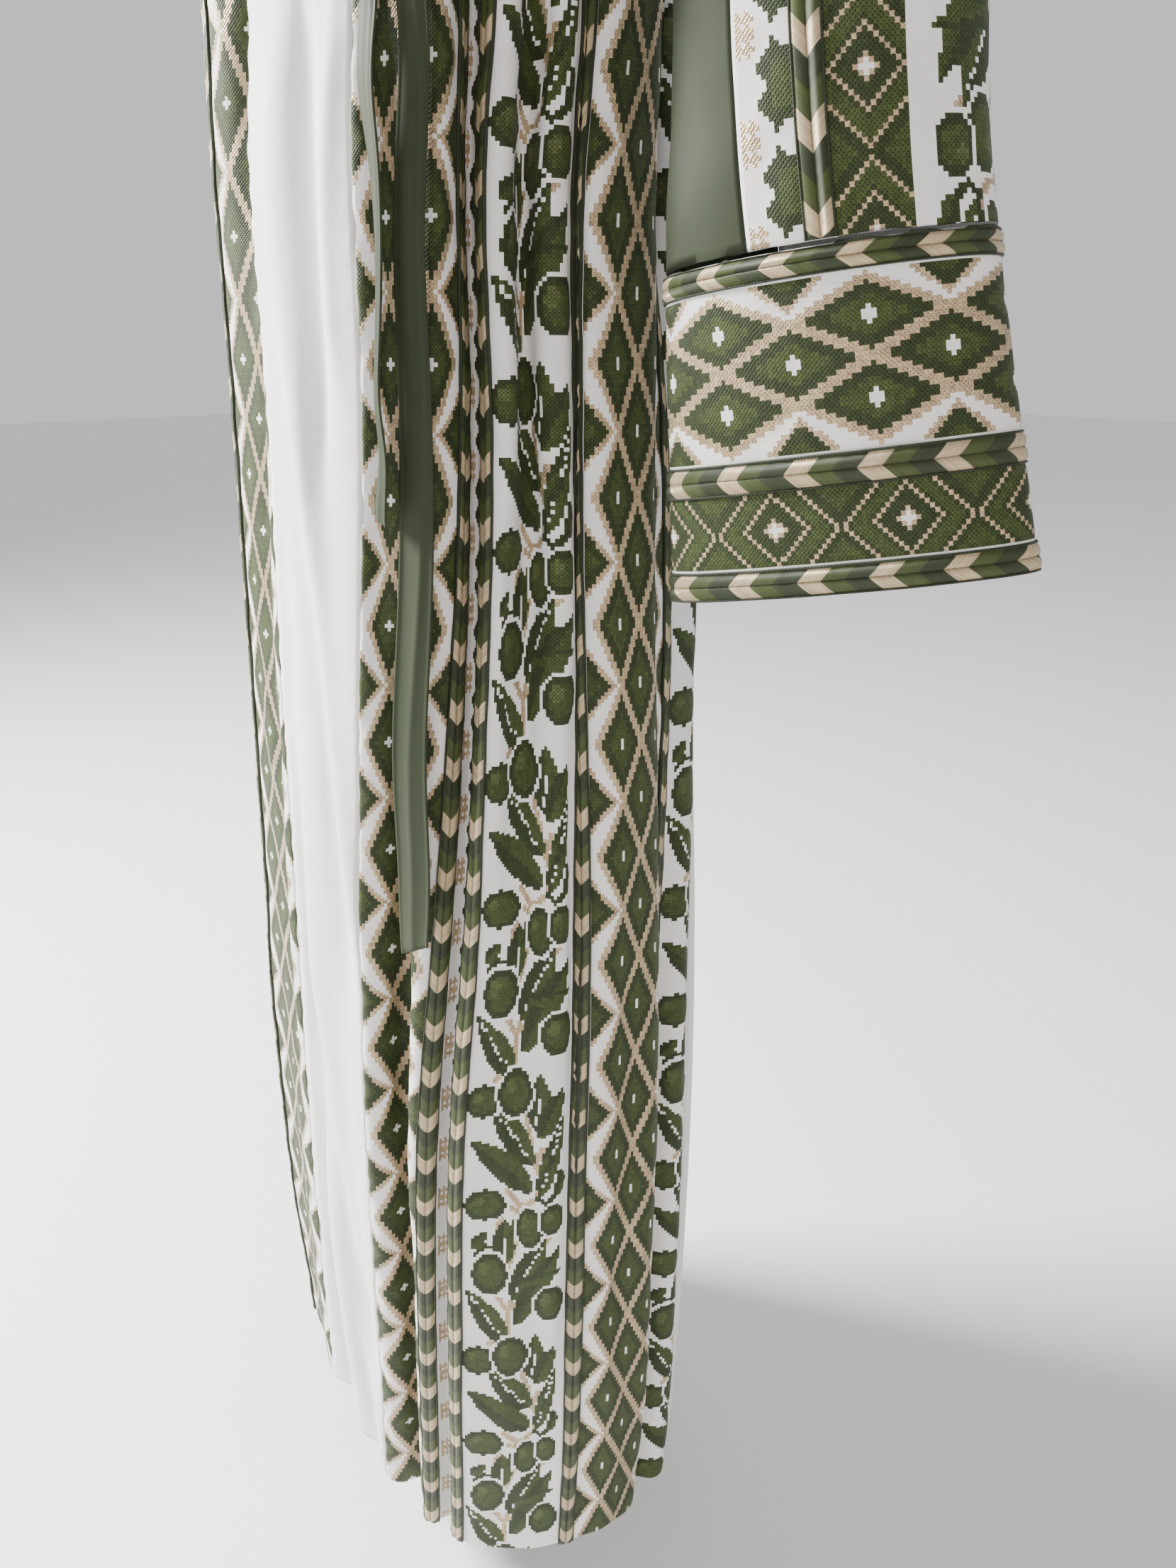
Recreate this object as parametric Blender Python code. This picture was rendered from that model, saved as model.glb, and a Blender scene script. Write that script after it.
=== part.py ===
"""A worn Palestinian thobe with a tied satin belt: hollow cloth pieces at their real size, in metres, +Z up.

The wearer faces -Y and their left is +X. The origin is at the base of the neck, where the dress rests on the
shoulders. The body is cut in straight strips, so a point of the cloth has two coordinates: how far it lies from
the centre front, in stitches, and its row, from the hem (0) to the shoulder seam (SHOULDER_ROW).
"""

import math

import bmesh
import bpy
import numpy as np

STITCH = 0.0024  # one cross stitch, the unit that every strip is cut to
HEM = -1.565
BELT_HEIGHT = -0.385
ARMPIT = -0.240
WALL = 0.0012
GAP = 0.0003
BRAID_WALL = 0.0015

# Strips from the centre front round to the centre back, in stitches.
BRAID = 6.5
STRIPS = (
    ("white", 31.0),
    ("lattice", 37.0),
    ("braid_a", BRAID),
    ("star", 12.0),
    ("braid_b", BRAID),
    ("leaf", 40.0),
    ("braid_c", BRAID),
    ("side_lattice", 37.0),
    ("braid_d", BRAID),
    ("back_leaf", 40.0),
    ("back", 91.0),
)
START = {}
HALF_ROUND = 0.0
for strip_name, strip_width in STRIPS:
    START[strip_name] = HALF_ROUND
    HALF_ROUND += strip_width
SEAM_B = START["braid_b"] + BRAID / 2
SEAM_C = START["braid_c"] + BRAID / 2
SEAM_D = START["braid_d"] + BRAID / 2

# The outline that the folds hang inside, as distances from its own centre to the wearer's left, right, front and
# back; centre is how far the centre front sits along its width.
OUTLINE_TURN = math.radians(12.0)
OUTLINE_POWER = 2.5
OUTLINE_COLUMNS = ("height", "left", "right", "front", "back", "centre", "turned")
OUTLINES = (
    (-0.240, 0.186, 0.186, 0.132, 0.112, 0.030, 0.2),
    (-0.385, 0.180, 0.182, 0.142, 0.112, 0.058, 0.6),
    (-0.450, 0.178, 0.178, 0.144, 0.110, 0.070, 0.7),
    (-0.515, 0.180, 0.197, 0.148, 0.122, 0.079, 1.0),
    (-0.665, 0.187, 0.215, 0.150, 0.134, 0.079, 1.0),
    (-0.885, 0.203, 0.235, 0.155, 0.140, 0.063, 1.0),
    (-1.115, 0.216, 0.253, 0.160, 0.142, 0.048, 1.0),
    (-1.365, 0.219, 0.265, 0.160, 0.138, 0.035, 1.0),
    (-1.565, 0.212, 0.273, 0.154, 0.132, 0.020, 1.0),
)

# Troughs: the stitch column of each at the belt and at the hem, its half width, and its depth at five heights.
FOLD_HEIGHTS = (-0.240, -0.465, -0.715, -1.115, -1.565)
FOLD_COLUMNS = ("at_belt", "at_hem", "half_width", "bust", "belt", "hip", "knee", "hem")
FOLDS = (
    (48, 50, 0.026, 0.002, 0.006, 0.011, 0.029, 0.029),
    (78, 80, 0.034, 0.002, 0.036, 0.034, 0.006, 0.000),
    (80, 80, 0.014, 0.001, 0.003, 0.004, 0.014, 0.014),
    (112, 112, 0.028, 0.004, 0.030, 0.029, 0.011, 0.002),
    (135, 136, 0.016, 0.002, 0.016, 0.017, 0.007, 0.001),
    (181, 182, 0.022, 0.003, 0.021, 0.008, 0.022, 0.022),
    (215, 214, 0.026, 0.004, 0.026, 0.018, 0.017, 0.016),
    (252, 250, 0.028, 0.003, 0.028, 0.020, 0.018, 0.018),
    (290, 288, 0.026, 0.002, 0.025, 0.018, 0.017, 0.017),
    (6, 16, 0.026, 0.002, 0.003, 0.002, 0.005, 0.012),
    (-26, -16, 0.024, 0.002, 0.003, 0.004, 0.018, 0.012),
    (-44, -52, 0.026, 0.003, 0.022, 0.012, 0.004, 0.004),
    (-100, -96, 0.026, 0.004, 0.027, 0.020, 0.017, 0.016),
    (-140, -140, 0.026, 0.003, 0.027, 0.020, 0.018, 0.017),
    (-182, -184, 0.024, 0.003, 0.024, 0.018, 0.017, 0.016),
    (-222, -224, 0.027, 0.004, 0.028, 0.020, 0.019, 0.018),
    (-262, -266, 0.026, 0.003, 0.026, 0.018, 0.017, 0.016),
)

# Bodice: the shoulder seams, the neckline and the armholes.
SHOULDER_Y = 0.010
NECK_HALF = 0.075
SHOULDER_HALF = 0.192
SHOULDER_SLOPE = 0.34
NECK_STITCHES = 31.0
FRONT_NECK_DROP = 0.36  # share of the way down from the shoulders to the armpits
BACK_NECK_DROP = 0.07
ARMHOLE_TOP = 0.65
ARMHOLE_DIP = 0.05
BELT_ROW = 10
LEVEL_ROWS = 12
BRAID_SHARE = 0.61
BODICE_SHARES = (0.0, 0.325, BRAID_SHARE, ARMHOLE_TOP, 0.85, 1.0)
BRAID_ROW = LEVEL_ROWS + BODICE_SHARES.index(BRAID_SHARE)
ARMHOLE_ROW = LEVEL_ROWS + BODICE_SHARES.index(ARMHOLE_TOP)
SHOULDER_ROW = LEVEL_ROWS + len(BODICE_SHARES) - 1

# Sleeves: strips from the line along the outside of the arm, in stitches, and tubes round the arm's path. The
# last stretch of each is its cuff. reach is half the tube's width across the arm, depth half its thickness.
SLEEVE_BRAID_START = 37.0
SLEEVE_BRAID_END = SLEEVE_BRAID_START + BRAID
SATIN_START = SLEEVE_BRAID_END + 12.0
SLEEVE_COLUMNS = ("x", "y", "z", "reach", "depth", "twist")
LEFT_SLEEVE = (
    (0.259, 0.008, -0.182, 0.072, 0.068, 4.0),
    (0.284, 0.008, -0.298, 0.073, 0.060, 12.0),
    (0.293, 0.005, -0.400, 0.075, 0.053, 20.0),
    (0.302, 0.002, -0.498, 0.076, 0.048, 26.0),
    (0.313, -0.001, -0.589, 0.083, 0.044, 29.0),
    (0.338, 0.005, -0.755, 0.098, 0.028, 30.0),
)
RIGHT_SLEEVE = (
    (-0.252, 0.022, -0.176, 0.070, 0.068, 0.0),
    (-0.300, 0.046, -0.203, 0.069, 0.056, 0.0),
    (-0.352, 0.052, -0.222, 0.068, 0.046, 0.0),
    (-0.388, 0.004, -0.232, 0.066, 0.046, 0.0),
    (-0.364, -0.078, -0.238, 0.062, 0.054, 0.0),
    (-0.296, -0.226, -0.240, 0.062, 0.062, 0.0),
)
CUFF_RING = len(LEFT_SLEEVE) - 1
CUFF_STITCHES = 70.0
CUFF_LATTICE_END = BRAID + 35.0
SLEEVE_STEPS = {"left": 1, "right": 2}  # rows of faces between one ring and the next
BRAID_TOP = 0.15  # where the sleeve's braids start, clear of the armhole's seam
CUFF_GAP = 0.004  # the seam between sleeve and cuff, as a share of the stretch above it
SATIN_EDGE = 0.001  # share of the satin's width that its seam gap takes

# Satin belt: a flat band, a knot at the wearer's left front and two hanging ends.
BELT_WIDTH = 0.044
BELT_WALL = 0.002
KNOT_STITCH = 47.0
KNOT_SIZE = (0.046, 0.024, 0.050)
KNOT_STANDOFF = 0.0008
KNOT_ROUNDING = 0.86  # 1 would draw its top and bottom in to points
KNOT_RINGS = 7
KNOT_SIDES = 14
TAIL_WALL = 0.0014
TAIL_SLANT = 0.010  # how much higher one corner of the cut end is
TAIL_COLUMNS = ("height", "stitch", "lift", "half_width", "turn")
SHORT_TAIL = (
    (-0.414, 41.0, 0.0080, 0.008, 25.0),
    (-0.479, 40.0, 0.0075, 0.008, 30.0),
    (-0.545, 42.5, 0.0060, 0.009, 50.0),
    (-0.625, 43.0, 0.0060, 0.009, 55.0),
    (-0.685, 43.5, 0.0060, 0.009, 50.0),
    (-0.725, 45.0, 0.0060, 0.009, 40.0),
)
LONG_TAIL = (
    (-0.414, 53.5, 0.0080, 0.009, 14.0),
    (-0.479, 54.0, 0.0080, 0.009, 14.0),
    (-0.600, 53.0, 0.0060, 0.010, 16.0),
    (-0.760, 57.0, 0.0065, 0.012, 12.0),
    (-0.885, 60.5, 0.0065, 0.013, 10.0),
    (-0.965, 64.0, 0.0060, 0.013, 12.0),
    (-1.010, 67.0, 0.0060, 0.012, 14.0),
)
NECK_BAND = 0.009
NECK_GAP = 0.0018

# Above the belt the panels behind the front braids are cut narrower, by this share at the armpits.
SIDE_TAPER = 0.36

# Fine steps for reading the outlines and for taking normals.
DENSE = 1600
STEP = 0.02
NORMAL_STEP = 0.01
SATIN_NORMAL_STEP = 0.0002
RING_ANGLES = 181
BELT_LIFT = 0.0055


def column(table, columns, name):
    return np.array([row[columns.index(name)] for row in table])


def smooth_between(x, xs, ys):
    """A value read from a table with no corners at its rows, by smoothed slopes."""
    slopes = np.gradient(ys, xs)
    x = min(max(x, xs[0]), xs[-1])
    k = int(min(max(np.searchsorted(xs, x) - 1, 0), len(xs) - 2))
    width = xs[k + 1] - xs[k]
    t = (x - xs[k]) / width
    return (
        ys[k] * (1 + 2 * t) * (1 - t) ** 2
        + slopes[k] * width * t * (1 - t) ** 2
        + ys[k + 1] * t * t * (3 - 2 * t)
        + slopes[k + 1] * width * t * t * (t - 1)
    )


def outline_value(z, name):
    heights = column(OUTLINES, OUTLINE_COLUMNS, "height")[::-1]
    return smooth_between(z, heights, column(OUTLINES, OUTLINE_COLUMNS, name)[::-1])


def signed_power(value):
    return np.sign(value) * np.abs(value) ** (2 / OUTLINE_POWER)


def base_outline(z):
    """The smooth closed outline at a height: points from the centre back round by the right, front and left."""
    angle = np.linspace(-math.pi, math.pi, DENSE + 1)
    side = np.where(np.sin(angle) > 0, outline_value(z, "left"), outline_value(z, "right"))
    depth = np.where(np.cos(angle) > 0, outline_value(z, "front"), outline_value(z, "back"))
    across = side * signed_power(np.sin(angle))
    along = -depth * signed_power(np.cos(angle))
    turn = OUTLINE_TURN * outline_value(z, "turned")
    x = across * math.cos(turn) + along * math.sin(turn)
    y = -across * math.sin(turn) + along * math.cos(turn)
    points = np.stack([x, y], 1)
    run = np.concatenate([[0], np.cumsum(np.linalg.norm(np.diff(points, axis=0), axis=1))])
    middle = slice(DENSE // 4, 3 * DENSE // 4 + 1)
    front = np.interp(outline_value(z, "centre"), across[middle], run[middle])
    return points, run, front


def fold_depth(stitches, z):
    """How far the cloth dips inwards at these stitch columns."""
    depth = np.zeros_like(stitches)
    down = min(max((BELT_HEIGHT - z) / (BELT_HEIGHT - HEM), 0), 1)
    for row in FOLDS:
        fold = dict(zip(FOLD_COLUMNS, row, strict=True))
        heights = np.array(FOLD_HEIGHTS[::-1])
        depths = np.array([fold[name] for name in ("hem", "knee", "hip", "belt", "bust")])
        centre = fold["at_belt"] + (fold["at_hem"] - fold["at_belt"]) * down
        off = (stitches - centre + HALF_ROUND) % (2 * HALF_ROUND) - HALF_ROUND
        depth += smooth_between(z, heights, depths) * np.exp(-((off * STITCH / fold["half_width"]) ** 2))
    return depth


def section(stitches, z, folded=True, lift=0.0):
    """Points of the cloth at one height, in plan. Its length along the folds follows the cut."""
    points, run, front = base_outline(z)
    normal = np.gradient(points, axis=0)
    normal = np.stack([normal[:, 1], -normal[:, 0]], 1)
    normal /= np.linalg.norm(normal, axis=1)[:, None]
    cloth = np.linspace(0, HALF_ROUND, DENSE + 1)
    result = np.zeros((len(stitches), 2))
    for side, room in ((1, run[-1] - front), (-1, front)):
        dip = fold_depth(side * cloth, z)
        slope = np.gradient(dip, cloth * STITCH)
        used = np.sqrt(np.maximum(1 - slope**2, 0.04))
        used[cloth > START["leaf"]] *= 1 - SIDE_TAPER * max(z - BELT_HEIGHT, 0) / (ARMPIT - BELT_HEIGHT)
        along = np.concatenate([[0], np.cumsum((used[1:] + used[:-1]) / 2)])
        along *= room / along[-1]
        mine = stitches * side >= 0
        at = np.abs(stitches[mine])
        place = front + side * np.interp(at, cloth, along)
        out = lift - (np.interp(at, cloth, dip) if folded else 0.0)
        for axis in (0, 1):
            on_outline = np.interp(place, run, points[:, axis])
            result[mine, axis] = on_outline + out * np.interp(place, run, normal[:, axis])
    return result


def armhole_share(stitches):
    """The share of the bodice's height at which each stitch column ends: under the arm, at the neck, or at 1."""
    at = np.abs(stitches)
    share = np.ones_like(at)
    neck = at < NECK_STITCHES
    share[neck] = 1 - FRONT_NECK_DROP * np.cos(at[neck] / NECK_STITCHES * math.pi / 2) ** 0.9
    nape = HALF_ROUND - at
    behind = nape < NECK_STITCHES
    share[behind] = 1 - BACK_NECK_DROP * np.cos(nape[behind] / NECK_STITCHES * math.pi / 2)
    under = (at > SEAM_B) & (at < SEAM_D)
    turn = np.sin((at[under] - SEAM_B) / (SEAM_D - SEAM_B) * math.pi) ** 0.75
    share[under] = 1 + (ARMHOLE_DIP / ARMHOLE_TOP - 1) * turn
    return share


def shoulder_points(stitches):
    """Where each column would reach the ridge from shoulder to shoulder."""
    front = np.abs(stitches) < (SEAM_B + SEAM_D) / 2
    at = np.where(front, np.abs(stitches), HALF_ROUND - np.abs(stitches))
    full = np.where(front, SEAM_B, HALF_ROUND - SEAM_D)
    beyond = np.clip((at - NECK_STITCHES) / (full - NECK_STITCHES), 0, 1)
    near = np.clip(at / NECK_STITCHES, 0, 1)
    x = near * NECK_HALF + beyond * (SHOULDER_HALF - NECK_HALF)
    z = -SHOULDER_SLOPE * beyond * (SHOULDER_HALF - NECK_HALF)
    y = np.where(front, SHOULDER_Y - GAP, SHOULDER_Y + GAP)
    return np.stack([x * np.sign(stitches), y, z], 1)


def body(stitches, row):
    """Points of the body's cloth, midway through its thickness, for stitch columns on one row."""
    stitches = np.asarray(stitches, float)
    stitches = (stitches + HALF_ROUND) % (2 * HALF_ROUND) - HALF_ROUND
    if row <= LEVEL_ROWS:
        z = np.interp(row, (0, BELT_ROW, LEVEL_ROWS), (HEM, BELT_HEIGHT, ARMPIT))
        return np.column_stack([section(stitches, z), np.full(len(stitches), z)])
    share = np.interp(row - LEVEL_ROWS, range(len(BODICE_SHARES)), BODICE_SHARES)
    share = share * armhole_share(stitches)
    low = section(stitches, ARMPIT)
    top = shoulder_points(stitches)
    lean = np.sqrt(np.maximum(1 - share**2, 0))
    ease = share * share * (3 - 2 * share)
    x = low[:, 0] + (top[:, 0] - low[:, 0]) * ease
    y = top[:, 1] + (low[:, 1] - top[:, 1]) * lean
    z = ARMPIT + (top[:, 2] - ARMPIT) * share
    return np.stack([x, y, z], 1)


def unit(vectors):
    return vectors / np.linalg.norm(vectors, axis=-1, keepdims=True)


def body_grid(stitches, rows):
    """(points, outward normals) of the body's cloth, as arrays of row by column.

    A normal is read at the nearest quarter stitch, so that the two edges at a seam have the same one.
    """
    stitches = np.asarray(stitches, float)
    level = np.round(stitches * 4) / 4
    points, normals = [], []
    for row in rows:
        below, above = max(row - STEP, 0), min(row + STEP, SHOULDER_ROW)
        points.append(body(stitches, row))
        across = body(level + STEP, row) - body(level - STEP, row)
        normals.append(unit(np.cross(across, body(level, above) - body(level, below))))
    return np.array(points), np.array(normals)


def wall(name, points, normals, inner, outer, material, ring=False):
    """A closed solid between two offsets of a grid of cloth points. Each quad has the same diagonal."""
    rows, columns = points.shape[:2]
    shell = bmesh.new()
    layers = []
    for offset in (outer, inner):
        corner = points + normals * offset
        layers.append([[shell.verts.new(corner[i, j]) for j in range(columns)] for i in range(rows)])
    out, back = layers
    spans = columns if ring else columns - 1

    def quad(a, b, c, d):
        shell.faces.new((a, b, c))
        shell.faces.new((a, c, d))

    for i in range(rows - 1):
        for j in range(spans):
            k = (j + 1) % columns
            quad(out[i][j], out[i][k], out[i + 1][k], out[i + 1][j])
            quad(back[i][j], back[i + 1][j], back[i + 1][k], back[i][k])
        if not ring:
            quad(back[i][0], out[i][0], out[i + 1][0], back[i + 1][0])
            quad(out[i][-1], back[i][-1], back[i + 1][-1], out[i + 1][-1])
    for j in range(spans):
        k = (j + 1) % columns
        quad(back[0][j], back[0][k], out[0][k], out[0][j])
        quad(out[-1][j], out[-1][k], back[-1][k], back[-1][j])
    return finish(name, shell, material)


def finish(name, shell, material):
    if shell.calc_volume(signed=True) < 0:
        bmesh.ops.reverse_faces(shell, faces=shell.faces)
    mesh = bpy.data.meshes.new(name)
    shell.to_mesh(mesh)
    shell.free()
    mesh.shade_smooth()
    mesh.set_sharp_from_angle(angle=math.radians(60))
    mesh.materials.append(material)
    thing = bpy.data.objects.new(name, mesh)
    bpy.context.scene.collection.objects.link(thing)
    return thing


def finish_material(name, colour, roughness, sheen):
    material = bpy.data.materials.new(name)
    material.use_nodes = True
    shader = material.node_tree.nodes["Principled BSDF"]
    shader.inputs["Base Color"].default_value = (*colour, 1)
    shader.inputs["Roughness"].default_value = roughness
    shader.inputs["Metallic"].default_value = 0.0
    shader.inputs["Sheen Weight"].default_value = sheen
    return material


def spread(start, stop, count):
    return list(np.linspace(start, stop, count + 1))


def body_panels(cloth):
    """The body's eight panels. Their columns include each braid's edges, so that the braids lie parallel."""
    seam = GAP / 2 / STITCH
    rows = list(range(SHOULDER_ROW + 1))
    low_rows = list(range(ARMHOLE_ROW + 1))
    braid_a_end = START["braid_a"] + BRAID
    braid_b_end = START["braid_b"] + BRAID
    braid_c_end = START["braid_c"] + BRAID
    braid_d_end = START["braid_d"] + BRAID
    front = [
        *spread(START["lattice"] + seam, START["braid_a"], 4),
        braid_a_end,
        *spread(braid_a_end, START["braid_b"], 2)[1:],
        SEAM_B - seam,
    ]
    side_front = [SEAM_B + seam, *spread(braid_b_end, START["braid_c"], 4), SEAM_C - seam]
    side_back = [SEAM_C + seam, *spread(braid_c_end, START["braid_d"], 4), SEAM_D - seam]
    nape = HALF_ROUND - NECK_STITCHES
    back_half = [SEAM_D + seam, *spread(braid_d_end, nape, 6), *spread(nape, HALF_ROUND, 2)[1:]]
    centre = spread(-START["lattice"] + seam, START["lattice"] - seam, 6)
    back = back_half + [2 * HALF_ROUND - at for at in reversed(back_half[:-1])]
    cut = (("front_centre_panel", centre, rows), ("back_panel", back, rows))
    for side, sign in (("left", 1), ("right", -1)):
        for name, columns, which in (
            ("front_panel", front, rows),
            ("side_front_panel", side_front, low_rows),
            ("side_back_panel", side_back, low_rows),
        ):
            cut += ((f"{name}_{side}", [sign * at for at in columns][::sign], which),)
    for name, columns, which in cut:
        wall(name, *body_grid(columns, which), -WALL / 2, WALL / 2, cloth)


def body_braids(braid):
    """Four braids on each side, from the hem to the shoulder seam or the armhole."""
    low = WALL / 2 + GAP
    for side, sign in (("left", 1), ("right", -1)):
        for letter, seam, top in (
            ("a", None, SHOULDER_ROW),
            ("b", SEAM_B, BRAID_ROW),
            ("c", SEAM_C, BRAID_ROW),
            ("d", SEAM_D, BRAID_ROW),
        ):
            start = START[f"braid_{letter}"]
            columns = [start, start + BRAID] if seam is None else [start, seam, start + BRAID]
            columns = [sign * at for at in columns][::sign]
            grid = body_grid(columns, range(top + 1))
            wall(f"body_braid_{letter}_{side}", *grid, low, low + BRAID_WALL, braid)


def armhole(sign):
    """The armhole's edge as a closed loop from the shoulder tip by the front, with the outward shift that clears it."""
    tip = np.array([SHOULDER_ROW, SHOULDER_ROW - 0.5, SHOULDER_ROW - 1, SHOULDER_ROW - 1.5])
    under = np.linspace(SEAM_B, SEAM_D, 25)
    corners = [(SEAM_B - 0.01, row) for row in tip]
    corners += [(at, ARMHOLE_ROW) for at in under]
    corners += [(SEAM_D + 0.01, row) for row in tip[::-1]]
    loop = []
    for at, row in corners:
        point, normal = body_grid([sign * at], [row])
        clear = GAP + WALL * abs(normal[0, 0, 0])
        loop.append(point[0, 0] + np.array([sign * clear, 0, 0]))
    loop.append(loop[0])
    return np.array(loop)


def tube_frames(path, sign):
    """Directions across each ring of a sleeve: to the outside of the arm and to its front."""
    tangents = unit(np.gradient(path, axis=0))
    front = np.array([0.0, -1.0, 0.0])
    frames = []
    for tangent in tangents:
        front = unit(front - tangent * (front @ tangent))
        frames.append((unit(np.cross(front, tangent)) * sign, front))
    return frames


def sleeve_rings(table, sign):
    """Closed loops of points from the armhole to the cuff's edge, each from the outside line by the front."""
    centres = np.array([row[:3] for row in table])
    start = np.array([[sign * SHOULDER_HALF, SHOULDER_Y, -0.130]])
    frames = tube_frames(np.vstack([start, centres]), sign)[1:]
    angle = np.linspace(0, 2 * math.pi, RING_ANGLES)
    loops = [armhole(sign)]
    for row, (outside, front) in zip(table, frames, strict=True):
        ring = dict(zip(SLEEVE_COLUMNS, row, strict=True))
        twist = math.radians(ring["twist"])
        out = outside * math.cos(twist) - front * math.sin(twist)
        ahead = front * math.cos(twist) + outside * math.sin(twist)
        centre = np.array([ring["x"], ring["y"], ring["z"]])
        reach = ring["reach"] * np.cos(angle)[:, None]
        depth = ring["depth"] * np.sin(angle)[:, None]
        loops.append(centre + out * reach + ahead * depth)
    return loops


def on_ring(loop, stitches):
    """Points of a loop at stitch columns from its outside line: + by the front, and past SATIN_START a share."""
    run = np.concatenate([[0], np.cumsum(np.linalg.norm(np.diff(loop, axis=0), axis=1))])
    satin = run[-1] - 2 * SATIN_START * STITCH
    places = []
    for at in stitches:
        if at > SATIN_START:
            places.append(SATIN_START * STITCH + (at - SATIN_START) * satin)
        else:
            places.append((at * STITCH) % run[-1])
    return np.stack([np.interp(places, run, loop[:, axis]) for axis in range(3)], 1)


def sleeve(stitches, t, loops):
    """Points of a sleeve's cloth on the ring at t, which runs from the armhole (0) to the cuff's edge."""
    k = int(min(max(math.floor(t), 0), len(loops) - 2))
    t -= k
    keep = [on_ring(loops[min(max(k + shift, 0), len(loops) - 1)], stitches) for shift in (-1, 0, 1, 2)]
    before, this, following, after = keep
    if k == 0:
        before = 2 * this - following
    if k == len(loops) - 2:
        after = 2 * following - this
    return (
        this
        + (following - before) * t / 2
        + (before - 2.5 * this + 2 * following - after / 2) * t * t
        + (1.5 * this - before / 2 - 1.5 * following + after / 2) * t**3
    )


def sleeve_grid(stitches, steps, loops, sign):
    points, normals = [], []
    last = len(loops) - 1
    for t in steps:
        below, above = max(t - NORMAL_STEP, 0), min(t + NORMAL_STEP, last)
        nudge = [at + (SATIN_NORMAL_STEP if at > SATIN_START else NORMAL_STEP) for at in stitches]
        here = sleeve(stitches, t, loops)
        across = sleeve(nudge, t, loops) - here
        along = sleeve(stitches, below, loops) - sleeve(stitches, above, loops)
        points.append(here)
        normals.append(-sign * unit(np.cross(across, along)))
    return np.array(points), np.array(normals)


def cuff_height(stitches):
    """The ring at a distance down the cuff, in stitches."""
    return CUFF_RING + stitches / CUFF_STITCHES


def sleeves(cloth, satin, braid):
    low = WALL / 2 + GAP
    seam = GAP / 2 / STITCH
    for side, sign, table in (("left", 1, LEFT_SLEEVE), ("right", -1, RIGHT_SLEEVE)):
        loops = sleeve_rings(table, sign)
        half = [
            *spread(0, SLEEVE_BRAID_START, 3),
            SLEEVE_BRAID_END,
            SATIN_START - seam,
        ]
        outside = [-at for at in reversed(half[1:])] + half
        inside = [SATIN_START + share for share in (SATIN_EDGE, *spread(0, 1, 6)[1:-1])]
        inside.append(-SATIN_START - seam)
        steps = spread(0, CUFF_RING - CUFF_GAP, CUFF_RING * SLEEVE_STEPS[side])
        steps.insert(1, BRAID_TOP)
        wall(
            f"sleeve_{side}",
            *sleeve_grid(outside, steps, loops, sign),
            -WALL / 2,
            WALL / 2,
            cloth,
        )
        wall(
            f"sleeve_satin_{side}",
            *sleeve_grid(inside, steps, loops, sign),
            -WALL / 2,
            WALL / 2,
            satin,
        )
        along_arm = steps[1:]
        for place, way in (("front", 1), ("back", -1)):
            columns = [way * SLEEVE_BRAID_START, way * SLEEVE_BRAID_END][::way]
            grid = sleeve_grid(columns, along_arm, loops, sign)
            wall(f"sleeve_braid_{place}_{side}", *grid, low, low + BRAID_WALL, braid)
        cuff_half = [0, 12.0, 24.0, 36.0, 48.0, SATIN_START]
        round_cuff = [-at for at in reversed(cuff_half[1:])] + cuff_half
        round_cuff += [SATIN_START + share for share in spread(0, 1, 5)[1:-1]]
        bands = (
            ("top", 0.0, BRAID),
            ("middle", CUFF_LATTICE_END, CUFF_LATTICE_END + BRAID),
            ("edge", CUFF_STITCHES - BRAID, CUFF_STITCHES),
        )
        levels = sorted(edge for _, start, end in bands for edge in (start, end))
        grid = sleeve_grid(round_cuff, [cuff_height(at) for at in levels], loops, sign)
        wall(f"cuff_{side}", *grid, -WALL / 2, WALL / 2, cloth, ring=True)
        for place, start, end in bands:
            grid = sleeve_grid(round_cuff, [cuff_height(start), cuff_height(end)], loops, sign)
            wall(f"cuff_braid_{place}_{side}", *grid, low, low + BRAID_WALL, braid, ring=True)


def neck_band(satin):
    """A narrow standing band that carries on from the neckline's edge."""
    centre = spread(-NECK_STITCHES, NECK_STITCHES, 6)
    nape = spread(HALF_ROUND - NECK_STITCHES, HALF_ROUND + NECK_STITCHES, 4)
    columns = np.array(centre + nape[1:-1])
    points, normals = body_grid(columns, [SHOULDER_ROW])
    below = body_grid(columns, [SHOULDER_ROW - STEP])[0]
    onward = unit(points[0] - below[0])
    start = points[0] + onward * NECK_GAP
    grid = np.array([start, start + onward * NECK_BAND])
    wall("neck_band", grid, np.repeat(normals, 2, axis=0), -WALL / 2, WALL / 2, satin, ring=True)


def belt(satin):
    """The flat band round the waist, clear of the cloth below it."""
    columns = np.array(spread(-HALF_ROUND, HALF_ROUND, 32)[:-1])
    rows = []
    normals = []
    for z in (BELT_HEIGHT - BELT_WIDTH / 2, BELT_HEIGHT, BELT_HEIGHT + BELT_WIDTH / 2):
        inner = section(columns, z, folded=False, lift=BELT_LIFT)
        outer = section(columns, z, folded=False, lift=BELT_LIFT + BELT_WALL)
        rows.append(np.column_stack([inner, np.full(len(inner), z)]))
        normals.append(np.column_stack([unit(outer - inner), np.zeros(len(inner))]))
    return wall("belt", np.array(rows), np.array(normals), 0.0, BELT_WALL, satin, ring=True)


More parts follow.
